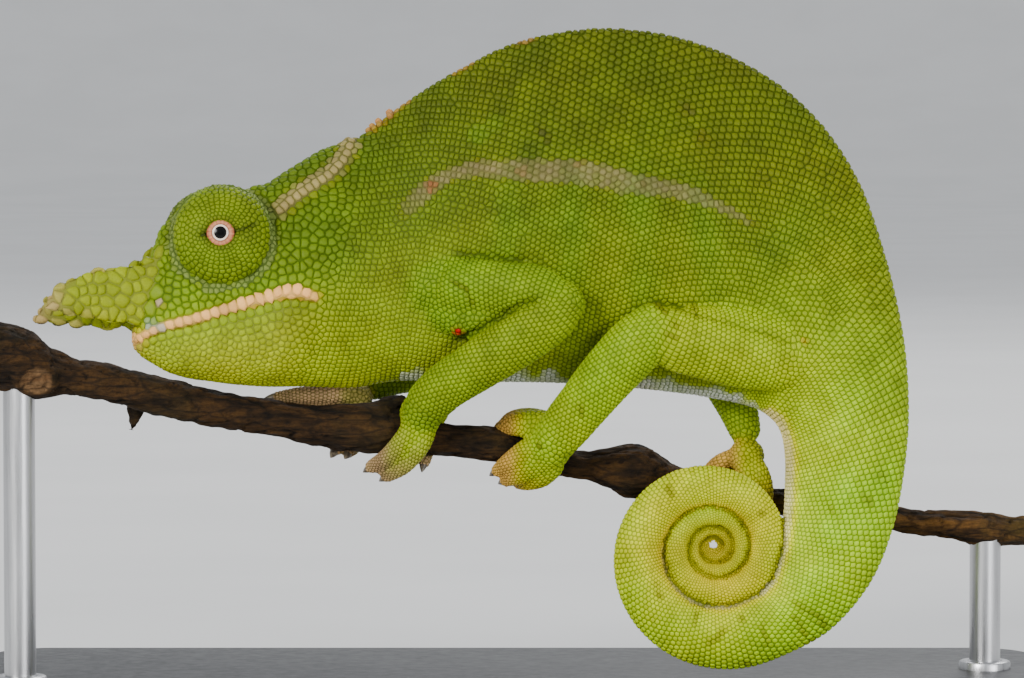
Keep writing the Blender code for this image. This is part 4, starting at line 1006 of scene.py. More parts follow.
def unwrap(surface):
    """A place on one unwrap of the whole skin for each point: the body below, small charts above."""
    uv = np.zeros((len(surface.points), 2))
    columns = 12
    for i, chart in enumerate(surface.charts):
        here = surface.chart == i
        if i == 0:
            length = run_of(chart.grid[:, : 1 + len(chart.phi) // 2].mean(1))
            along = np.interp(surface.row[here], chart.rows, length / length[-1])
            box = (0.005, 0.005, 0.995, 0.60)
        else:
            low, high = chart.rows.min(), chart.rows.max()
            along = (surface.row[here] - low) / (high - low)
            line, column = divmod(i - 1, columns)
            box = (column / columns + 0.005, 0.62 + line * 0.125,
                   (column + 1) / columns - 0.005, 0.735 + line * 0.125)
        uv[here, 0] = box[0] + (box[2] - box[0]) * along
        uv[here, 1] = box[1] + (box[3] - box[1]) * surface.phi[here] / (2 * pi)
    surface.uv = uv


def add_skin(surface, look):
    skin = new_object("skin", surface.points, surface.faces, look)
    uv = surface.uv[surface.faces]
    torn = np.ptp(uv, axis=1).max(1) > 0.03  # faces that cross from one chart to another
    uv[torn] = uv[torn][:, :1] + PATCH / 2 * np.array(((-1, -1), (1, -1), (1, 1), (-1, 1)))
    layer = skin.data.uv_layers.new(name="OFBake")
    layer.uv.foreach_set("vector", uv.astype(np.float32).ravel())
    count = len(surface.points)
    # the relief is 0 all over the skin, so its material darkens it as painted shade in the grooves between
    # scales
    paint_mesh(skin.data, surface.colour, np.ones(count), np.zeros(count), surface.edge)
    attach(skin, "root")
    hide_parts(*FLESH)


# --------------------------------------------------------------------------- what is painted


def linear(colour):
    c = np.asarray(colour, float) / 255
    return np.where(c <= 0.04045, c / 12.92, ((c + 0.055) / 1.055) ** 2.4)


def blend(low, high, share):
    return low + (high - low) * np.clip(share, 0, 1)[..., None]


def across(share, back, flank, belly):
    """Between three values at 12, 50 and 90 % of the way down a side."""
    if np.ndim(back) > np.ndim(share):
        share = share[..., None]
    upper = np.clip((share - 0.12) / 0.38, 0, 1)
    lower = np.clip((share - 0.5) / 0.4, 0, 1)
    return np.where(share < 0.5, back + (flank - back) * upper, flank + (belly - flank) * lower)


def body_colour(t, share):
    places, *columns = zip(*BODY_LOOK)
    tones = [np.stack([np.interp(t, places, channel) for channel in linear(column).T], -1)
             for column in columns[:3]]
    return across(share, *tones)


def body_width(t, share):
    places, *columns = zip(*BODY_LOOK)
    return across(share, *(np.interp(t, places, column) for column in columns[3:]))


class Painter:
    """Paints the skin: its colour, and the width, height and pale edges of the scales on it.

    The methods are called in the order in which they stand, because each paints over the last.
    """

    def __init__(self, surface):
        self.surface = surface
        self.t, self.share, self.body = surface.row, surface.share, surface.body
        self.flat = surface.flat[:, [0, 2]]
        self.head = surface.head_flat()
        self.near = surface.points[:, 1] < 0
        self.on_head = self.body & (self.t < CASQUE_TIP + 0.6)
        self.on_trunk = self.body & (self.t > CASQUE_TIP) & (self.t < COIL_FIRST - 4)
        self.colour = body_colour(self.t, self.share)
        self.width = body_width(self.t, self.share)
        self.edge = np.zeros(len(self.t))

    def lay(self, tone, share):
        self.colour = blend(self.colour, linear(tone), share)

    def paint_shade(self, share):
        self.colour = self.colour * (1 - share)[:, None]

    def cloud(self, points, scale, lift):
        return np.array([noise.noise(Vector((x * scale, z * scale, lift))) for x, z in points])

    def parts(self):
        """The legs, feet, blades and eyes, each by its own chart."""
        surface = self.surface
        for i, chart in enumerate(surface.charts):
            here = surface.chart == i
            row, name = surface.row[here], chart.name
            if chart.kind in ("limb", "bridge"):
                start, end, wide, narrow = LIMB_LOOK[name.rsplit("_", 1)[0]]
                part = np.clip(row / chart.rows.max(), 0, 1)
                if chart.kind == "bridge":
                    part = np.full(len(row), 1.0 if name.startswith(("forearm", "shank")) else 0.0)
                self.colour[here] = blend(linear(start), linear(end), part)
                self.width[here] = wide + (narrow - wide) * part
            elif chart.kind in ("palm", "toe"):
                green, tip = (HAND_GREEN, HAND_TIP) if name.startswith("hand") else (FOOT_GREEN, FOOT_EDGE)
                part = np.clip(row / 3, 0, 1) if chart.kind == "toe" else 0.0 * row
                low, high, least = TINT["_".join(name.split("_")[:2])]
                part = np.maximum(part, np.maximum(least, step(surface.points[here][:, 0], low, high)))
                self.colour[here] = blend(linear(green), linear(tip), part**1.5)
                self.width[here] = 0.46 - 0.12 * part
            elif chart.kind == "blade":
                rim = step(np.abs(np.cos(surface.phi[here])), 0.75, 0.98) * step(row, 4.4, 3.0)
                part = np.maximum(step(row, 2.2, 0.4), 0.55 * rim)
                self.colour[here] = blend(linear(BLADE_GREEN), linear(BLADE_PINK), part * 0.8)
                self.edge[here], self.width[here] = 0.3, 1.4
            elif chart.kind == "socket":
                self.colour[here], self.width[here] = linear(SOCKET), SOCKET_SCALE
            elif chart.kind == "turret":
                self.lid(here, name.rsplit("_", 1)[1])

    def lid(self, here, side):
        distance, local = self.surface.from_eye(side)
        r, local = distance[here], local[here]
        tone = blend(linear(TURRET_GREEN), linear(SOCKET), step(r, 4.4, 4.9))
        tone = blend(tone, linear(LID_RING), hump(r - 1.45, 0.18))
        # painted shade in the slits of the lid
        for line in LID_SLITS:
            slit, along = near_line(local[:, :2], line)
            tone = tone * (1 - 0.75 * hump(slit, 0.22) * step(along, 1.0, 0.6))[:, None]
        # painted shadow: a darker patch on the lid beside and below the longer slit
        tone = tone * (1 - 0.25 * hump(np.hypot(local[:, 0] - 3.0, local[:, 1] + 0.5), 0.9))[:, None]
        # painted shade in the groove round the lid
        self.colour[here] = tone * (1 - 0.4 * hump(r - LID_GROOVE, 0.16))[:, None]
        self.width[here] = np.where(r > 4.6, SOCKET_SCALE, np.interp(r, *LID_SCALE))

    def face(self):
        """Lips with painted shade in the slit of the mouth, crest, the nostril's pit painted dark as shade, and
        the rings round the eyes.
        """
        surface, t, on_head = self.surface, self.t, self.on_head
        below_neck = ~on_head & ~surface.names("turret", "blade", "socket", "hand", "foot")
        self.colour = np.where(below_neck[:, None], surface.links.relax(self.colour, 24, 0.5), self.colour)
        self.dm = dm = surface.below_mouth()
        mouth = step(t, MOUTH_END + 0.4, MOUTH_END - 0.4) * on_head
        lip = mouth * step(dm, -1.0, -0.82) * step(dm, 0.0, -0.08)
        self.lay(LIP, lip)
        lower_lip = mouth * step(dm, 0.45, 0.2) * step(dm, 0.0, 0.1) * 0.85 * step(t, 1.6, 0.7)
        self.lay(LIP, lower_lip)
        self.lips = np.maximum(lip, lower_lip)
        # painted shade in the slit of the mouth, between the lips
        self.paint_shade(0.8 * (hump(dm, 0.09) * mouth))
        crest, along = near_line(self.head, CREST_LINE)
        self.crest = on_head * step(crest, 1.05, 0.4) * step(along, 0.0, 0.1)
        self.lay(CREST_PALE, self.crest * 0.62)
        muzzle = on_head | surface.names("blade")
        smear, _ = near_line(self.head, SMEAR_LINE)
        self.lay(SMEAR, muzzle * step(smear, 0.5, 0.15) * 0.8)
        # the nostril's pit painted near-black: painted shade in the hole
        pit, _ = near_line(self.head, (NOSTRIL, NOSTRIL))
        self.lay(PIT_SHADE, muzzle * step(pit, 0.45, 0.25))
        self.lay(BEAD, on_head * step(away(self.head, *NOSTRIL_BEAD), 0.4, 0.3))
        self.ringed = np.zeros(len(t))
        for side in WAY:
            distance, _ = surface.from_eye(side)
            near = on_head & surface.on_side(side)
            ring = near * step(distance, 5.7, 5.1)
            self.lay(SOCKET, ring * 0.65)
            self.ringed = np.maximum(self.ringed, ring)
            self.width = np.where(near & (distance < 5.3), 0.42, self.width)

    def flank(self):
        """The pale stripe, the spots of the near side, faint cool bars, dark smudges, painted shade in the
        creases and a painted shadow along the tail's turns.
        """
        flat, share = self.flat, self.share
        line = np.array([row[:2] for row in STRIPE_LINE])
        far, along = near_line(flat, line)
        lengths = run_of(line)
        half = np.interp(along, lengths / lengths[-1], [row[2] for row in STRIPE_LINE])
        ends = step(along, 0.0, 0.14) * step(along, 1.0, 0.85)
        broken = np.clip(0.8 + 0.7 * self.cloud(flat, 1.3, 3.0), 0.3, 1)
        self.stripe = self.on_trunk * ends * step(far, half * 1.3, half * 0.6) * broken
        self.lay(STRIPE, self.stripe * 0.8)
        cheek = self.on_head * (self.dm > 0.3) * (self.dm < FAR / 2) * 0.3
        cheek = cheek * step(self.t, CASQUE_TIP, CASQUE_TIP - 2.5)
        throat = np.hypot(flat[:, 0] + 8, 0.7 * (flat[:, 1] - 37))
        throat = self.on_trunk * self.near * 0.2 * hump(throat, 9.0)
        self.edge = np.maximum.reduce([self.edge, self.stripe * 0.25, cheek, throat])
        for x, z, reach, tone, strength in SPOTS:
            spot = step(self.surface.points[:, 1], 0.0, -0.5) * step(away(flat, x, z), reach, 0.5 * reach)
            self.lay(tone, spot * strength)
        bars = np.zeros(len(share))
        for x, lean, wide in BARS:
            bars = np.maximum(bars, hump(flat[:, 0] - x - lean * (flat[:, 1] - 45.0), wide))
        bars = bars * self.on_trunk * step(share, 0.3, 0.45) * step(share, 0.99, 0.85)
        self.lay(BAR, bars * 0.3)
        for x, z, end_x, end_z, wide in FLECKS:
            mark, _ = near_line(flat, ((x, z), (end_x, end_z)))
            self.lay(FLECK, self.near * step(mark, wide * 1.5, wide * 0.3) * 0.75)
        # painted shadow along the outer edge of each inner turn of the coil, where the turn outside it lies
        # against it
        self.paint_shade(0.25 * (self.body & (self.t > COIL_FIRST + 16)) * step(share, 0.09, 0.03))
        # painted shade in the first three creases of the near side
        for line, deep, wide in FOLDS[:3]:
            fold, along = near_line(flat, line)
            shade = (0.45 if deep > 0.25 else 0.3) * self.near * hump(fold, wide * 0.8)
            self.paint_shade(shade * step(along, 1.0, 0.8))

    def underside(self):
        """The white line under the belly, the pale one under the tail, and painted shade in the seam where its
        turns touch.
        """
        t, share, body = self.t, self.share, self.body
        trunk = body & (t > SHOULDER) & (t < SHOULDER + 8.5)
        patchy = self.cloud(self.flat, 0.7, 9.0)
        white = trunk * step(share + 0.03 * patchy, 0.955, 0.985)
        self.lay(WHITE, white * np.clip(0.8 + 0.8 * patchy, 0.2, 1))
        tail = body & (t > SHOULDER + 7)
        self.inside = step(share, np.interp(t, (19, 21, 25, 36), (0.93, 0.87, 0.84, 0.80)), 0.97)
        self.lay(VENTRAL, tail * self.inside * np.interp(t, (20, 38, 46, 60), (1.0, 0.85, 0.4, 0.15)))
        # painted shade where one turn of the tail lies against the next
        self.paint_shade(0.55 * self.surface.turn_line())

    def hues(self):
        """Slow changes of hue over the whole body, pink dashes and cones on its ridge, the tail's hue."""
        points, t, share, body, flat = self.surface.points, self.t, self.share, self.body, self.flat
        warm = np.array([noise.fractal(Vector(p) * 0.16, 0.8, 2.0, 3) for p in points])
        dark = np.array([noise.fractal(Vector(p) * 0.33 + Vector((9, 2, 5)), 0.8, 2.0, 3) for p in points])
        self.colour = self.colour * (1 + 0.20 * np.clip(dark, -1, 1))[:, None]
        self.colour = self.colour * (1 + np.clip(warm, -1, 1)[:, None] * np.array((0.07, 0.0, 0.05)))
        for low, high in DASHES:
            dash = body & (t > 9) & (t < SHOULDER + 4) & (flat[:, 0] > low) & (flat[:, 0] < high)
            self.lay(DASH, dash * step(share, 0.02, 0.008) * 0.8)
        for x, z in CONES:
            self.lay(CONE, body * step(away(flat, x, z), 0.5, 0.3) * step(share, 0.03, 0.015) * 0.8)
        hue = np.array((0.92, 1.04, 1.0)) - 1
        tail = step(t, 42, 56)[:, None] * hue - (hump(t - 33, 7) * 0.45)[:, None] * hue
        self.colour = self.colour * (1 + body[:, None] * tail)

    def light(self):
        """Painted light and shade, as brightness that makes up for the plain studio light, and richness of the
        colour.
        """
        surface, t, share = self.surface, self.t, self.share
        places, upper, lower = zip(*LIGHT_GAIN)
        upper, lower = np.interp(t, places, upper), np.interp(t, places, lower)
        # painted light and shade: each place and part made brighter or darker, and the lips brighter
        light_gain = np.where(share < 0.5, upper, lower)
        light_gain = light_gain + (upper - light_gain) * step(share, 0.62, 0.38)
        for start, value in PART_LIGHT_GAIN:
            light_gain = np.where(surface.names(start), value, light_gain)
        light_gain = surface.links.relax(light_gain, 12, 0.5)
        light_gain = light_gain + (1.12 - light_gain) * self.lips
        tail = 0.8 - 1.3 * self.inside * step(t, 37.0, 27.0)
        richness = RICHNESS + self.body * step(t, 19.0, 26.0) * tail - 0.12 * self.lips
        pale = [step(self.stripe, 0.03, 0.35), step(self.crest, 0.03, 0.35), self.ringed]
        richness = richness - 0.4 * np.maximum.reduce(pale)
        for start, value in PART_RICHNESS:
            richness = np.where(surface.names(start), value, richness)
        colour = surface.links.relax(self.colour, 2, 0.5)
        grey = (colour @ np.array((0.30, 0.59, 0.11)))[:, None]
        surface.colour = np.maximum(grey + (colour - grey) * richness[:, None], 0.002) * light_gain[:, None]

    def scales(self):
        """Width and height of the scales, and how pale the grooves between them are."""
        surface = self.surface
        surface.edge = np.maximum(self.edge, 0.5 * self.lips)
        surface.width = surface.links.relax(self.width, 6, 0.5)
        rise = np.select([surface.names("blade"), surface.names("turret", "socket"), self.on_head,
                          surface.names("hand", "foot")], [0.13, 0.17, 0.20, 0.19], 0.21)
        for x, z in CONES:
            cone = 0.6 * self.body * step(away(self.flat, x, z), 0.42, 0.25)
            rise = rise + cone * step(self.share, 0.03, 0.015)
        surface.height = surface.width * (rise - 0.06 * self.lips)


def paint(surface):
    painter = Painter(surface)
    painter.parts()
    painter.face()
    painter.flank()
    painter.underside()
    painter.hues()
    painter.light()
    painter.scales()


# --------------------------------------------------------------------------- where the scales grow


def ring_roots(shape, t, offset, width_at, low=0.0, high=1.0, turns=200):
    """Angles of the roots round one ring, counted from its back down both sides at even counts of widths."""
    found = []
    for way in (1, -1):
        phi = np.linspace(0, pi, turns)
        p = shape(np.full(turns, t), phi * way % (2 * pi), 0.0)
        count = counted(np.linalg.norm(np.diff(p, axis=0), axis=1), width_at((1 - np.cos(phi)) / 2))
        marks = np.arange(offset, count[-1] - 0.3, 1.0)
        if way < 0 and offset == 0:
            marks = marks[1:]
        angle = np.interp(marks, count, phi)
        keep = ((1 - np.cos(angle)) / 2 >= low) & ((1 - np.cos(angle)) / 2 <= high)
        found.append(angle[keep] * way % (2 * pi))
    return np.concatenate(found)


def body_roots():
    """Rings of scales from the nape to the tip of the tail; the lower flank has its own, closer together."""
    found, loose = [], []
    for first, last, low, high, at in SERIES:
        last = min(last, LAST)
        t = np.linspace(first, last, int((last - first) * 60) + 2)
        length = run_of(body_points(t, np.full(len(t), np.arccos(1 - 2 * at))))
        count = counted(np.diff(length), body_width(t, np.full(len(t), at)) * ROW_SHARE)
        for k in range(int(count[-1]) + 1):
            place = float(np.interp(k, count, t))
            angles = ring_roots(body_points, place, 0.5 * (k % 2),
                                lambda share: body_width(np.full(len(share), place), share), low, high)
            found.append(body_points(np.full(len(angles), place), angles))
            loose.append(np.full(len(angles), 1.0 if place < 18 else 0.25))
    found, loose = np.vstack(found), np.concatenate(loose)
    return found + rng.normal(0, 0.045, found.shape) * loose[:, None]


def path_roots(chart, wide, narrow):
    """Rings of scales along a leg or a toe."""
    last = chart.rows.max() - 0.97
    s = np.linspace(0.0, last, 200)
    length = run_of(chart.shape(s[:, None], np.array([0.0, pi])[None, :], 0.0).mean(1))
    found, at, k = [], 0.0, 0
    while at < length[-1]:
        place = float(np.interp(at, length, s))
        width = wide + (narrow - wide) * place / last
        angles = ring_roots(chart.shape, place, 0.5 * (k % 2),
                            lambda share: np.full(len(share), width), turns=60)
        found.append(chart.shape(np.full(len(angles), place), angles, 0.0))
        at, k = at + width * ROW_SHARE, k + 1
    return np.vstack(found)


def turret_roots(chart):
    """Rings of scales round an eyelid, closer together towards the pupil."""
    found = []
    radius, k = TURRET_RINGS[0], 0
    profile = smooth(TURRET, np.linspace(2.0, 7.6, 400))
    while radius < TURRET_RINGS[1]:
        i = int(np.argmin(np.abs(profile[150:, 0] - radius))) + 150
        width = np.interp(radius, *LID_SCALE)
        number = int(round(2 * pi * radius / width))
        place = 2.0 + 5.6 * i / 399
        angles = (np.arange(number) + 0.5 * (k % 2) + rng.uniform(-0.2, 0.2, number)) * 2 * pi / number
        found.append(chart.shape(place + rng.uniform(-0.02, 0.02, number), angles, 0.0))
        out, up = profile[i] - profile[i - 1]
        slope = np.hypot(1, up / max(abs(out), 1e-6))
        radius, k = radius + width * 0.86 / min(slope, 3.0), k + 1
    return np.vstack(found)


def lip_roots():
    """The row of labials over the mouth and the one under it, in step, on both sides; and their widths."""
    found, widths = [], []
    t = np.linspace(0.35, MOUTH_END, 300)
    band = np.interp(t, *LIP_BAND)
    height = section(t)[4]
    for way in (1, -1):
        length = run_of(body_points(t, angle_at(mouth_at(t)) * way % (2 * pi)))
        marks = np.interp(np.arange(0.2, length[-1], LABIAL), length, t)
        for drop, width in ((-0.5 * band - 0.05, 0.45 + 0.55 * band), (0.47, np.full(len(t), 0.8))):
            share = np.interp(marks, t, mouth_at(t) + drop / height)
            found.append(body_points(marks, angle_at(share) * way % (2 * pi)))
            widths.append(np.interp(marks, t, width))
    return np.vstack(found), np.concatenate(widths)


def blade_roots(chart):
    """Rows of plates along a blade: first those that fold over its edges, then four on each side."""
    found = []
    rows = [(0.0, 1.45, 0.3), (pi, 1.6, 0.3)]
    for k, share in enumerate((0.2, 0.4, 0.6, 0.8)):
        angle = np.arccos(1 - 2 * share)
        rows += [(angle, 1.7, 0.9 + 0.85 * (k % 2)), (2 * pi - angle, 1.7, 0.5 + 0.85 * (k % 2))]
    for angle, spacing, first in rows:
        p = chart.shape(np.linspace(0.25, len(BLADE) - 1.5, 200), np.full(200, angle), 0.0)
        length = run_of(p)
        marks = np.arange(first, length[-1], spacing)
        found.append(np.stack([np.interp(marks, length, p[:, k]) for k in range(3)], 1))
    return np.vstack(found)


def crest_roots(way):
    """Points beside the head, from which the plates of one side's crest are dropped on it."""
    line = np.array(CREST_LINE)
    length = run_of(line)
    marks = np.arange(0.2, length[-1], 0.74)
    x, z = (np.interp(marks, length, line[:, k]) for k in range(2))
    return posed(np.stack([x, np.full(len(x), way * 6.0), z], 1))


class Roots:
    """Where the scales grow, each with its width; earlier ones win where they crowd."""

    FIELDS = ("at", "normal", "vertex", "width")

    def __init__(self, surface):
        self.surface = surface
        self.tree = BVHTree.FromPolygons(surface.points.tolist(), surface.faces.tolist())
        for field in self.FIELDS:
            setattr(self, field, [])

    def add(self, points, width=None, reach=0.4):
        """Drops roots on the skin and keeps those that find it near."""
        surface = self.surface
        kept, vertices = [], []
        for k, p in enumerate(points):
            hit, _, face, _ = self.tree.find_nearest(p, reach)
            if hit is not None:
                corners = surface.faces[face]
                kept.append((k, *hit))
                vertices.append(corners[np.argmin(((surface.points[corners] - np.array(hit)) ** 2).sum(1))])
        if not kept:
            return
        kept, vertices = np.array(kept), np.array(vertices)
        if width is None:
            width = surface.width[vertices]
        else:
            width = np.broadcast_to(width, len(points))[kept[:, 0].astype(int)]
        for field, values in zip(self.FIELDS, (kept[:, 1:], surface.normals[vertices], vertices, width)):
            getattr(self, field).append(values)

    def add_sideways(self, points, width):
        """Roots that reach the skin along the depth of the head, from outside it."""
        depth = HEAD_MATRIX @ np.array((0.0, 1.0, 0.0))
        hits = [self.tree.ray_cast(Vector(p), Vector(depth * -np.sign(unposed(p)[1])), 12.0)[0] for p in points]
        self.add([hit for hit in hits if hit is not None], width)

    def settle(self):
        for field in self.FIELDS:
            setattr(self, field, np.concatenate(getattr(self, field)))

    def thin(self, share=0.62):
        """Removes a root that lies within a share of its width of an earlier one."""
        tree = kd_tree(self.at)
        alive = np.ones(len(self.at), bool)
        for i in range(len(self.at)):
            if not alive[i]:
                continue
            for _, j, gap in tree.find_range(self.at[i], share * 1.7):
                if j > i and alive[j] and gap < share * 0.5 * (self.width[i] + self.width[j]):
                    if self.normal[i] @ self.normal[j] > 0:
                        alive[j] = False
        for field in self.FIELDS:
            setattr(self, field, getattr(self, field)[alive])

    def fill(self, rounds=4, crowd=0.80, cell=0.9):
        """Fills what is bare with roots a width apart, in a seeded order, then evens them out."""
        surface = self.surface
        fixed = len(self.at)
        tree = kd_tree(self.at)
        taken, bare = {}, []

        def crowded(v, key):
            p, width = surface.points[v], surface.width[v]
            return any(((surface.points[u] - p) ** 2).sum() < (crowd * 0.5 * (width + surface.width[u])) ** 2
                       and surface.normals[u] @ surface.normals[v] > -0.2
                       for x, y, z in product((-1, 0, 1), repeat=3)
                       for u in taken.get((key[0] + x, key[1] + y, key[2] + z), ()))

        for v in rng.permutation(len(surface.points)):
            p, width = surface.points[v], surface.width[v]
            _, j, gap = tree.find(p)
            if width <= 0.05 or (gap < crowd * 0.5 * (width + self.width[j])
                                 and surface.normals[v] @ self.normal[j] > -0.2):
                continue
            bare.append(v)
            key = tuple((p // cell).astype(int))
            if not crowded(v, key):
                taken.setdefault(key, []).append(v)
        chosen = np.array([v for some in taken.values() for v in some], int)
        bare = np.array(bare, int)
        at = surface.points[chosen]
        for _ in range(rounds):
            tree = kd_tree(np.vstack([self.at, at]))
            owner = np.array([tree.find(p)[1] for p in surface.points[bare]]) - fixed
            mine = owner >= 0
            number = np.bincount(owner[mine], minlength=len(at))[:, None]
            total = gather(owner[mine], surface.points[bare[mine]], len(at))
            at = np.where(number > 0, total / np.maximum(number, 1), at)
        for field in self.FIELDS:
            setattr(self, field, [getattr(self, field)])
        self.add(at, reach=1.0)
        self.settle()


def grow(surface):
    """All roots: lips, crests, blades and lids first, then rings of the body and legs, then the rest."""
    roots = Roots(surface)
    roots.add(*lip_roots())
    for way in (-1, 1):
        roots.add_sideways(crest_roots(way), 0.80)
    for chart in surface.charts:
        if chart.kind == "blade":
            roots.add(blade_roots(chart), 1.5)
        elif chart.kind == "turret":
            roots.add(turret_roots(chart))
    roots.add(body_roots())
    for chart in surface.charts:
        if chart.kind == "limb":
            roots.add(path_roots(chart, *LIMB_LOOK[chart.name.rsplit("_", 1)[0]][2:]), reach=0.3)
        elif chart.kind == "toe":
            roots.add(path_roots(chart, *TOE_SCALE), reach=0.25)
    roots.settle()
    roots.thin()
    roots.fill()
    roots.thin(0.5)
    roots.tone = np.clip(rng.normal(1.0, 0.07, len(roots.at)), 0.8, 1.2)
    return roots


# --------------------------------------------------------------------------- the scales


def clip(polygon, nx, ny, reach):
    """The part of a convex polygon that lies less than reach along the direction nx, ny."""
    kept = []
    ax, ay = polygon[-1]
    a = ax * nx + ay * ny - reach
    for bx, by in polygon:
        b = bx * nx + by * ny - reach
        if (a < 0) != (b < 0):
            f = a / (a - b)
            kept.append((ax + (bx - ax) * f, ay + (by - ay) * f))
        if b < 0:
            kept.append((bx, by))
        ax, ay, a = bx, by, b
    return kept


def with_sides(polygon, sides):
    """The same polygon with this many corners: its shortest sides closed, or its longest ones halved."""
    corners = list(polygon)
    while len(corners) != sides:
        ends = [(corners[k], corners[k - 1]) for k in range(len(corners))]
        lengths = [hypot(a[0] - b[0], a[1] - b[1]) for a, b in ends]
        closing = len(corners) > sides
        k = lengths.index(min(lengths) if closing else max(lengths))
        a, b = ends[k]
        middle = ((a[0] + b[0]) / 2, (a[1] + b[1]) / 2)
        if closing:
            corners[k - 1] = middle
            del corners[k]
        else:
            corners.insert(k, middle)
    return corners


def cells(roots, sides=8, neighbours=11):
    """The outline of each scale, up to where the next ones begin, on the plane of the skin at its root."""
    at, normal, width = roots.at, roots.normal, roots.width
    tree = kd_tree(at)
    near = np.array([[j for _, j, _ in tree.find_n(p, neighbours + 1)][1:] for p in at])
    gap = at[near] - at[:, None]
    distance = np.maximum(np.linalg.norm(gap, axis=2), 1e-9)
    usable = (np.einsum("nkd,nd->nk", normal[near], normal) > -0.3) & (distance > 1e-4)
    first = unit(np.cross(normal, (0.0, 0.0, 1.0) + 0.2 * normal[:, [1, 2, 0]]))
    second = np.cross(normal, first)
    plane = unit(np.stack([np.einsum("nkd,nd->nk", gap, first), np.einsum("nkd,nd->nk", gap, second)], 2))
    reach = distance * width[:, None] / (width[:, None] + width[near]) - GROOVE / 2
    flat = np.zeros((len(at), sides, 2))
    for i in range(len(at)):
        wide = 0.78 * width[i]
        polygon = [(wide * cos(k * 2 * pi / sides), wide * sin(k * 2 * pi / sides)) for k in range(sides)]
        for k in range(neighbours):
            if usable[i, k] and reach[i, k] < wide:
                polygon = clip(polygon, plane[i, k, 0], plane[i, k, 1], max(reach[i, k], 0.05)) or polygon
        flat[i] = with_sides(polygon, sides)
    flat += 0.10 * (np.roll(flat, 1, 1) + np.roll(flat, -1, 1) - 2 * flat)
    return flat, first, second


def domes(roots):
    """The points of every scale, and one scale's heights, faces and patch of the baking map."""
    flat, first, second = cells(roots)
    count, sides = flat.shape[:2]
    out = flat[..., :1] * first[:, None] + flat[..., 1:] * second[:, None]
    corners = roots.at[:, None] + out
    found = [roots.tree.find_nearest(corner)[:2] for corner in corners.reshape(-1, 3)]
    hits, turned = (np.array([pair[k] for pair in found]).reshape(count, sides, 3) for k in (0, 1))
    down = hits - corners
    rings, lifts = np.array(DOME).T
    ring = rings[None, :, None, None]
    upward = unit(roots.normal[:, None, None] * (1 - ring) + turned[:, None] * ring)
    height = roots.surface.height[roots.vertex]
    lift = height[:, None] * lifts[None, :]
    lift[:, -1] = -0.05
    points = roots.at[:, None, None] + out[:, None] * ring + down[:, None] * ring**2
    points = points + upward * lift[..., None, None]
    middle = out.mean(1) * 0.35 + roots.at + roots.normal * height[:, None]
    points = np.concatenate([middle[:, None], points.reshape(count, -1, 3)], 1)
    k = np.arange(sides)
    fans = np.stack([np.zeros(sides, int), 1 + k, 1 + (k + 1) % sides], 1)
    quads = 1 + np.array(ring_faces(len(rings), sides))[:, [0, 3, 2, 1]]
    relief = np.concatenate([[1.0], np.repeat(np.clip(lifts, 0, 1), sides)])
    compass = np.stack([np.cos(k * 2 * pi / sides), np.sin(k * 2 * pi / sides)], 1)
    patch = PATCH / 2 * np.concatenate([[[0, 0]], (rings[:, None, None] * compass[None]).reshape(-1, 2)])
    return points, relief, fans, quads, patch


def add_scales(surface, roots, look):
    """One mesh of raised scales for each group of roots."""
    points, relief, fans, quads, patch = domes(roots)
    per = points.shape[1]
    for name, chosen in group_roots(surface, roots).items():
        index = np.flatnonzero(chosen)
        if not len(index):
            continue
        n = len(index)
        start = np.arange(n)[:, None, None] * per
        loops = np.concatenate([(fans[None] + start).reshape(-1), (quads[None] + start).reshape(-1)])
        sizes = np.concatenate([np.full(n * len(fans), 3), np.full(n * len(quads), 4)])
        starts = np.concatenate([[0], np.cumsum(sizes)[:-1]])
        mesh = bpy.data.meshes.new(name)
        mesh.vertices.add(n * per)
        mesh.vertices.foreach_set("co", (points[index] * MM).astype(np.float32).ravel())
        mesh.loops.add(len(loops))
        mesh.loops.foreach_set("vertex_index", loops.astype(np.int32))
        mesh.polygons.add(len(sizes))
        mesh.polygons.foreach_set("loop_start", starts.astype(np.int32))
        mesh.polygons.foreach_set("loop_total", sizes.astype(np.int32))
        mesh.update()
        mesh.validate()
        mesh.shade_smooth()
        uv = surface.uv[roots.vertex[index]]
        low, high = uv.min(0), uv.max(0)
        uv = 0.01 + 0.98 * (uv - low) / np.maximum(high - low, 1e-6)
        layer = mesh.uv_layers.new(name="OFBake")
        place = (uv[:, None] + patch[None]).reshape(-1, 2)
        layer.uv.foreach_set("vector", place[loops].astype(np.float32).ravel())
        colour, edge = (values[roots.vertex[index]] for values in (surface.colour, surface.edge))
        paint_mesh(mesh, np.repeat(colour, per, 0), np.repeat(roots.tone[index], per),
                   np.tile(relief, n), np.repeat(edge, per))
        mesh.materials.append(look)
        thing = link(bpy.data.objects.new(name, mesh))
        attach(thing, "root")


def group_roots(surface, roots):
    """The named pieces that the scales are made in."""
    body, row = surface.body[roots.vertex], surface.row[roots.vertex]
    left = roots.at[:, 1] < 0
    named = lambda *starts: surface.names(*starts)[roots.vertex]
    groups = {"scales_head": (body & (row < NAPE)) | named("turret", "blade", "socket")}
    low = NAPE
    for part, high in PIECES:
        here = body & (row >= low) & (row < high)
        if part.startswith("tail"):
            groups[f"scales_{part}"] = here
        else:
            groups[f"scales_{part}_left"], groups[f"scales_{part}_right"] = here & left, here & ~left
        low = high
    groups["scales_tail_tip"] |= named("tail_tip")
    for side in WAY:
        groups[f"scales_arm_{side}"] = named(f"upper_arm_{side}", f"forearm_{side}", f"hand_{side}")
        groups[f"scales_leg_{side}"] = named(f"thigh_{side}", f"shank_{side}", f"foot_{side}")
    return groups


# --------------------------------------------------------------------------- materials


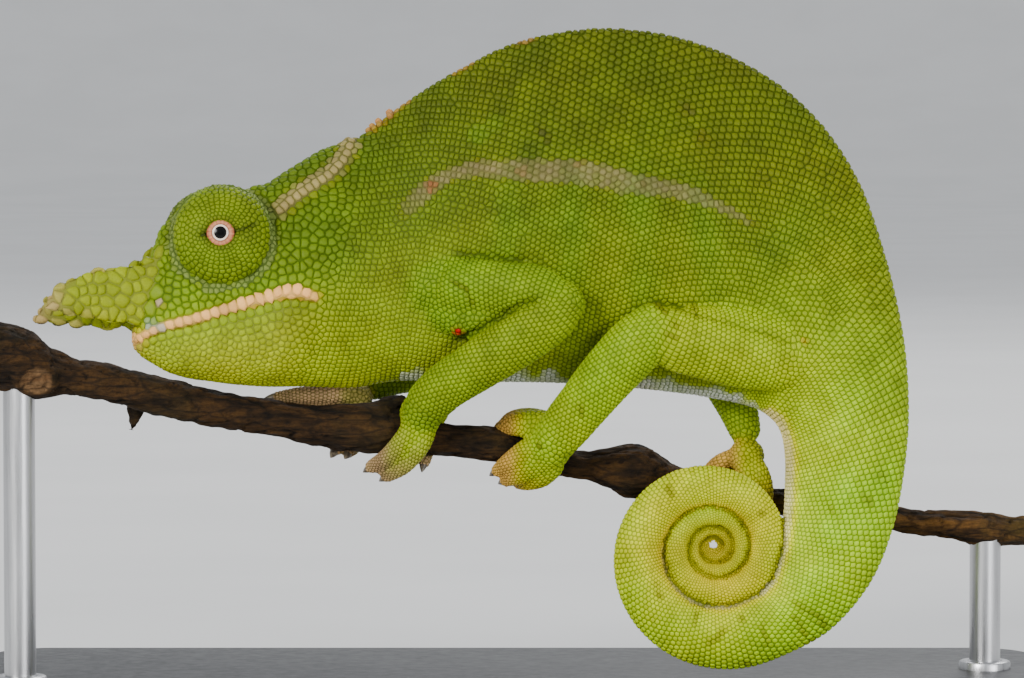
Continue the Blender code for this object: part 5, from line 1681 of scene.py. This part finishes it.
class Look:
    """A material in the making: each method adds nodes and gives the socket that they end in."""

    def __init__(self, name, **settings):
        self.material = bpy.data.materials.new(name)
        self.material.use_nodes = True
        self.tree = self.material.node_tree
        self.shader = self.tree.nodes["Principled BSDF"]
        for key, value in settings.items():
            self.shader.inputs[key.replace("_", " ")].default_value = value

    def feed(self, socket, value):
        if isinstance(value, bpy.types.NodeSocket):
            self.tree.links.new(value, socket)
        else:
            socket.default_value = (*value, 1.0) if socket.type == "RGBA" else value

    def node(self, kind, inputs=None, **settings):
        made = self.tree.nodes.new("ShaderNode" + kind)
        for key, value in settings.items():
            setattr(made, key, value)
        for key, value in (inputs or {}).items():
            self.feed(made.inputs[key], value)
        return made

    def mix(self, kind, factor, a, b):
        """A colour mix; a and b are sockets or linear colours."""
        return self.node("Mix", {0: factor, 6: a, 7: b}, data_type="RGBA", blend_type=kind).outputs[2]

    def remap(self, value, low, high, to_low, to_high):
        ends = {"From Min": low, "From Max": high, "To Min": to_low, "To Max": to_high}
        return self.node("MapRange", {"Value": value, **ends}).outputs["Result"]

    def between(self, value, low, high, a, b, most=1.0):
        """From a to b, or as much of it as most says, while the value goes from low to high."""
        return self.mix("MIX", self.remap(value, low, high, 0.0, most), a, b)

    def shade(self, colour, value, low, high, dark, bright):
        """The colour multiplied by dark where the value is low, up to bright where it is high."""
        value = self.remap(value, low, high, dark, bright)
        grey = self.node("CombineColor", {"Red": value, "Green": value, "Blue": value}).outputs["Color"]
        return self.mix("MULTIPLY", 1.0, colour, grey)

    def place(self, stretch=None):
        found = self.node("TexCoord").outputs["Object"]
        if stretch:
            found = self.node("Mapping", {"Vector": found, "Scale": stretch}).outputs["Vector"]
        return found

    def noise(self, scale, detail=3.0, rough=0.55, stretch=None):
        inputs = {"Vector": self.place(stretch), "Scale": scale, "Detail": detail, "Roughness": rough}
        return self.node("TexNoise", inputs).outputs["Fac"]

    def painted(self, name, output="Fac"):
        return self.node("Attribute", attribute_name=name).outputs[output]

    def finish(self, colour, gloss=None, bump=None):
        """Ends the material; bump is its strength, its depth in metres and its height."""
        self.feed(self.shader.inputs["Base Color"], colour)
        if gloss:
            self.feed(self.shader.inputs["Roughness"], gloss)
        if bump:
            made = self.node("Bump", dict(zip(("Strength", "Distance", "Height"), bump)))
            self.feed(self.shader.inputs["Normal"], made.outputs["Normal"])
        return self.material


def scale_look(name, groove=0.60, gloss=(0.42, 0.6), shine=0.16):
    """Reads the painted marking, darkens the grooves between scales as painted shade over the darker skin
    there, and breaks the colour up.
    """
    look = Look(name, Specular_IOR_Level=shine)
    marking = look.node("Attribute", attribute_name="marking")
    colour = look.shade(marking.outputs["Color"], marking.outputs["Alpha"], 0.0, 2.0, 0.0, 2.0)
    colour = look.shade(colour, look.noise(420.0, 4.0), 0.3, 0.7, 0.86, 1.14)
    colour = look.shade(colour, look.noise(5200.0, 2.0), 0.3, 0.7, 0.93, 1.07)
    # painted shade: the low parts of each scale and the skin between the scales take a darker colour
    dark = look.mix("MULTIPLY", 1.0, colour, (groove * 0.86, groove, groove * 0.7))
    pale = look.mix("MIX", 0.40, colour, linear(STRIPE_EDGE))
    low = look.mix("MIX", look.painted("edge"), dark, pale)
    colour = look.mix("MIX", look.remap(look.painted("relief"), 0.0, 0.7, 1.0, 0.0), colour, low)
    gloss = look.remap(look.noise(2600.0, 3.0), 0.3, 0.7, *gloss)
    return look.finish(colour, gloss, (0.35, 0.00003, look.noise(9000.0, 3.0)))


def eye_look():
    look = Look("eye", Roughness=0.2, Coat_Weight=0.15, Coat_Roughness=0.03, Specular_IOR_Level=0.12)
    colour = look.shade(look.painted("marking", "Color"), look.noise(5000.0, 4.0), 0.3, 0.7, 0.86, 1.12)
    return look.finish(colour)


def claw_look():
    look = Look("claw", Roughness=0.35, Specular_IOR_Level=0.5)
    colour = look.between(look.noise(3000.0, 3.0), 0.35, 0.65, linear((70, 62, 54)), linear((124, 112, 92)))
    return look.finish(colour, bump=(0.3, 0.00002, look.noise(9000.0)))


def bark_look():
    """Grain and flakes along the branch, painted shade in its cracks and between its flakes, and bare wood
    where it is cut.
    """
    look = Look("bark", Specular_IOR_Level=0.25)
    grain = look.noise(900.0, 6.0, 0.65, (0.16, 1.0, 1.0))
    colour = look.between(grain, 0.35, 0.68, linear((24, 14, 4)), linear((98, 66, 26)))
    colour = look.between(look.noise(130.0, 4.0, 0.6), 0.48, 0.66, colour, linear((54, 45, 14)), 0.6)
    # painted shade in the cracks of the bark, where its relief is low
    crack = look.remap(look.painted("relief"), 0.0, 1.0, 0.75, 0.0)
    colour = look.mix("MIX", crack, colour, linear((12, 8, 3)))
    wood = look.between(grain, 0.3, 0.7, linear((150, 106, 66)), linear((186, 146, 100)))
    colour = look.mix("MIX", look.painted("edge"), colour, wood)
    # painted shade along the edges of the flakes, as cracks between them
    inputs = {"Vector": look.place((0.24, 1.0, 1.0)), "Scale": 900.0, "Randomness": 1.0}
    flake = look.node("TexVoronoi", inputs, feature="DISTANCE_TO_EDGE").outputs["Distance"]
    colour = look.shade(colour, flake, 0.0, 0.09, 0.45, 1.05)
    colour = look.shade(colour, look.noise(2400.0, 5.0, 0.7), 0.3, 0.7, 0.6, 1.4)
    colour = look.mix("MULTIPLY", 1.0, colour, look.painted("marking", "Color"))
    gloss = look.remap(grain, 0.3, 0.7, 0.92, 0.68)
    return look.finish(colour, gloss, (1.0, 0.0005, look.noise(2000.0, 6.0, 0.72, (0.22, 1.0, 1.0))))


def stand_looks():
    look = Look("stand_black", Specular_IOR_Level=0.5)
    colour = look.between(look.noise(240.0), 0.35, 0.65, (0.018, 0.018, 0.02), (0.032, 0.032, 0.034))
    gloss = look.remap(look.noise(900.0), 0.3, 0.7, 0.34, 0.46)
    black = look.finish(colour, gloss, (0.25, 0.00005, look.noise(4200.0, 2.0)))
    look = Look("stand_steel", Metallic=1.0)
    lines = look.noise(2600.0, 4.0, 0.6, (1.0, 1.0, 0.04))
    colour = look.between(lines, 0.3, 0.7, (0.46, 0.46, 0.47), (0.62, 0.62, 0.63))
    return black, look.finish(colour, look.remap(lines, 0.3, 0.7, 0.24, 0.40), (0.15, 0.00002, lines))


def floor_look():
    look = Look("studio_floor", Roughness=0.85, Specular_IOR_Level=0.2)
    return look.finish(look.between(look.noise(14.0), 0.4, 0.6, (0.80, 0.80, 0.79), (0.83, 0.83, 0.82)))


# --------------------------------------------------------------------------- eyes, claws, perch, stand


def add_eyes(look, segments=64):
    """The eyeballs, with the iris, its rays and the pupil painted on."""
    radii = [np.linspace(EYE_RADIUS, 0.8, 12), np.linspace(0.78, 0.5, 26), np.linspace(0.46, 0.04, 8)]
    profile = [(0.0, 2.75), (EYE_RADIUS * 0.9, 2.75)]
    profile += [(r, EYE_APEX - (EYE_CURVE - np.sqrt(EYE_CURVE**2 - r**2))) for r in np.concatenate(radii)]
    profile.append((0.0, EYE_APEX))
    r = np.concatenate([np.repeat([ring[0] for ring in profile[1:-1]], segments), [EYE_RADIUS, 0.0]])
    angle = np.concatenate([np.tile(np.arange(segments) * 2 * pi / segments, len(profile) - 2), [0, 0]])
    rays = 0.10 * np.sin(angle * 17) + 0.07 * np.sin(angle * 29 + 1.3)
    colour = blend(linear(IRIS), linear(IRIS_DARK), np.clip(rays * 2 + 0.3 + step(r, 1.0, 1.25) * 0.5, 0, 1))
    colour = blend(colour, linear(IRIS_RIM), 0.7 * hump(r - 0.80, 0.06))
    colour = blend(colour, linear(PUPIL_RING), step(r, 0.77, 0.73))
    colour = blend(colour, linear(PUPIL), step(r, 0.61, 0.57))
    for side in WAY:
        eye = new_object(f"eye_{side}", *revolve(profile, segments, eye_pose(side)), look)
        paint_mesh(eye.data, colour, np.ones(len(r)), np.ones(len(r)), np.zeros(len(r)))
        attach(eye, "root")
        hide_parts(f"eyeball_{side}")


def add_claws(look):
    for name, shape in FEET.items():
        cones = []
        for toe in shape["toes"]:
            before, tip = np.array(toe[-2][:3]), np.array(toe[-1][:3])
            along = (tip - before) / np.linalg.norm(tip - before)
            rows = [(*(tip + along * reach), wide, deep) for reach, wide, deep in CLAW]
            cones.append(limb_chart("claw", "claw", rows, 6, 14, 0.0).mesh())
        claws = new_object(f"claws_{name}", *joined(cones), look)
        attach(claws, "root")


def add_perch(look):
    """The branch, with furrows, lumps and cracks in its bark, a knot, a swirl and two sawn ends."""
    rows = tuple((x, z, BRANCH_LEAN * (x - BRANCH_CROSSES), r, r) for x, z, r in BRANCH)
    places = np.linspace(0, len(rows) - 1, 25 * 14)
    charts = [Chart("branch", "limb", lambda s, p, i: limb_points(rows, s, p, i), places, 48, 0.02)]
    charts += [limb_chart("twig", "limb", rounded(path), 8, 20, 0.02) for path in (STUB, THORN)]
    points, faces = voxel_union([chart.mesh() for chart in charts], 0.26)
    points = Links(faces, len(points)).relax(points, 2, 0.4)
    normals = normals_of(points, faces)
    ends = (points[:, 0] < points[:, 0].min() + 0.5) | (points[:, 0] > points[:, 0].max() - 0.5)
    sawn = ends & (np.abs(normals[:, 0]) > 0.6)
    sink = np.zeros(len(points))
    for i, p in enumerate(points):
        furrow = noise.fractal(Vector((p[0] * 0.22, p[1], p[2])) * 0.9, 0.9, 2.1, 4)
        lump = noise.noise(Vector(p) * 0.28)
        crack = abs(noise.noise(Vector((p[0] * 0.24, p[1] * 1.1, p[2] * 1.1))))
        knob = noise.noise(Vector(p) * 0.75)
        sink[i] = 0.20 * furrow + 0.22 * lump + 0.16 * knob - 0.26 * max(0.0, 1 - crack / 0.10)
    knot, swirl = (np.linalg.norm(points - np.array(spot)[[0, 2, 1]], axis=1) for spot in (KNOT, SWIRL))
    sink += 0.45 * hump(knot - 1.9, 0.35) - 0.40 * hump(knot, 1.2) + 0.2 * hump(knot - 0.8, 0.25)
    sink += 0.22 * hump(swirl - 1.0, 0.25) - 0.2 * hump(swirl, 0.5) + 0.15 * hump(swirl - 1.7, 0.2)
    sink = np.where(sawn, 0.0, np.minimum(sink - 0.10, 0.04))
    points = points + normals * sink[:, None]
    perch = new_object("branch", points, faces, look)
    # relief: how high the bark lies, which its material darkens in the cracks as painted shade
    relief = np.clip(1.0 + (sink + 0.10) / 0.34, 0, 1)
    fresh = np.where(sawn, 0.9, 0.0) + 0.6 * step(knot + 0.8 * sink, 1.75, 1.35) * (points[:, 1] < -0.5)
    tone = np.interp(points[:, 0], (-40, 5, 20, 40), (0.62, 0.72, 0.8, 1.6))[:, None] * np.ones(3)
    paint_mesh(perch.data, tone, np.ones(len(points)), relief, np.clip(fresh, 0, 1))
    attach(perch, "root")
    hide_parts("perch")


def turned(name, profile, place, look):
    """A turned piece of the stand with sharp edges."""
    thing = new_object(name, *revolve(profile, 48, Matrix.Translation(place)), look)
    thing.data.set_sharp_from_angle(angle=SHARP)
    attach(thing, "root")
    return thing


def add_stand(black, steel):
    corners = enumerate(((1, 1), (-1, 1), (-1, -1), (1, -1)))
    outline = [(sx, sy, (turn + k / 12) * pi / 2) for turn, (sx, sy) in corners for k in range(13)]
    points = []
    for z, inset in BASE_PROFILE:
        radius = BASE_CORNER - inset
        points += [(sx * (BASE_LENGTH / 2 - BASE_CORNER) + radius * cos(angle),
                    sy * (BASE_DEPTH / 2 - BASE_CORNER) + radius * sin(angle), z) for sx, sy, angle in outline]
    n, levels = len(outline), len(BASE_PROFILE)
    faces = [tuple(range(n))[::-1], tuple((levels - 1) * n + k for k in range(n)), *ring_faces(levels, n)]
    base = new_object("display_base", points, faces, black)
    base.data.set_sharp_from_angle(angle=SHARP)
    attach(base, "root")
    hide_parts("stand_base")
    for side, x in zip(WAY, ROD_X):
        place = (x, BRANCH_LEAN * (x - BRANCH_CROSSES), 0)
        top = float(np.interp(x, [row[0] for row in BRANCH], [row[1] for row in BRANCH]))
        radii = (0.0, ROD_RADIUS, ROD_RADIUS, ROD_RADIUS, ROD_RADIUS - 0.2, 0.0)
        heights = (4.0, 4.0, 4.9, top - 0.2, top, top)
        rod = turned(f"display_rod_{side}", list(zip(radii, heights)), place, steel)
        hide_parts(f"stand_rod_{side}")
        collar = turned(f"display_collar_{side}", COLLAR, place, steel)


# --------------------------------------------------------------------------- studio


def add_studio(turns=72):
    """A pale floor that rises far off into a wall all round, an even sky and three lamps."""
    flat, rise = 2200.0, 900.0
    profile = [(flat * f, 0.0) for f in (0.02, 0.1, 0.3, 0.6, 1.0)]
    profile += [(flat + rise * sin(a), rise - rise * cos(a)) for a in np.linspace(0.1, pi / 2, 16)]
    angles = [k * 2 * pi / turns for k in range(turns)]
    points = [(r * cos(angle), r * sin(angle), z) for r, z in profile for angle in angles]
    quads = [(a, d, c, b) for a, b, c, d in ring_faces(len(profile), turns)]
    new_object("studio_floor", points, [tuple(range(turns)), *quads], floor_look())
    world = bpy.data.worlds.new("studio")
    world.use_nodes = True
    sky = world.node_tree.nodes["Background"].inputs
    sky["Color"].default_value, sky["Strength"].default_value = SKY
    bpy.context.scene.world = world
    for name, place, size, power, colour in LIGHTS:
        light = bpy.data.lights.new(name, "AREA")
        light.shape, light.size, light.energy, light.color = "DISK", size, power, colour
        lamp = link(bpy.data.objects.new(name, light))
        lamp.location = place
        lamp.rotation_euler = (Vector(LIGHTS_AIM) - Vector(place)).to_track_quat("-Z", "Y").to_euler()


def add_camera():
    """The camera of the photo: level with the animal's middle, tilted down a little."""
    camera = bpy.data.cameras.new("camera")
    camera.lens, camera.sensor_width = CAMERA_LENS, 36.0
    camera.clip_start, camera.clip_end = 0.01, 20.0
    thing = link(bpy.data.objects.new("camera", camera))
    thing.location = Vector((0.0, -cos(CAMERA_TILT) * CAMERA_AWAY, CAMERA_AIM + sin(CAMERA_TILT) * CAMERA_AWAY))
    thing.rotation_euler = (pi / 2 - CAMERA_TILT, 0.0, 0.0)
    bpy.context.scene.camera = thing


def main():
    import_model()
    add_camera()
    surface = Surface(make_charts())
    soften(surface)
    carve(surface)
    paint(surface)
    unwrap(surface)
    roots = grow(surface)
    scales = scale_look("scales")
    add_skin(surface, scale_look("skin", groove=0.52, gloss=(0.5, 0.65), shine=0.1))
    add_scales(surface, roots, scales)
    add_eyes(eye_look())
    add_claws(claw_look())
    add_perch(bark_look())
    add_stand(*stand_looks())
    add_studio()


main()
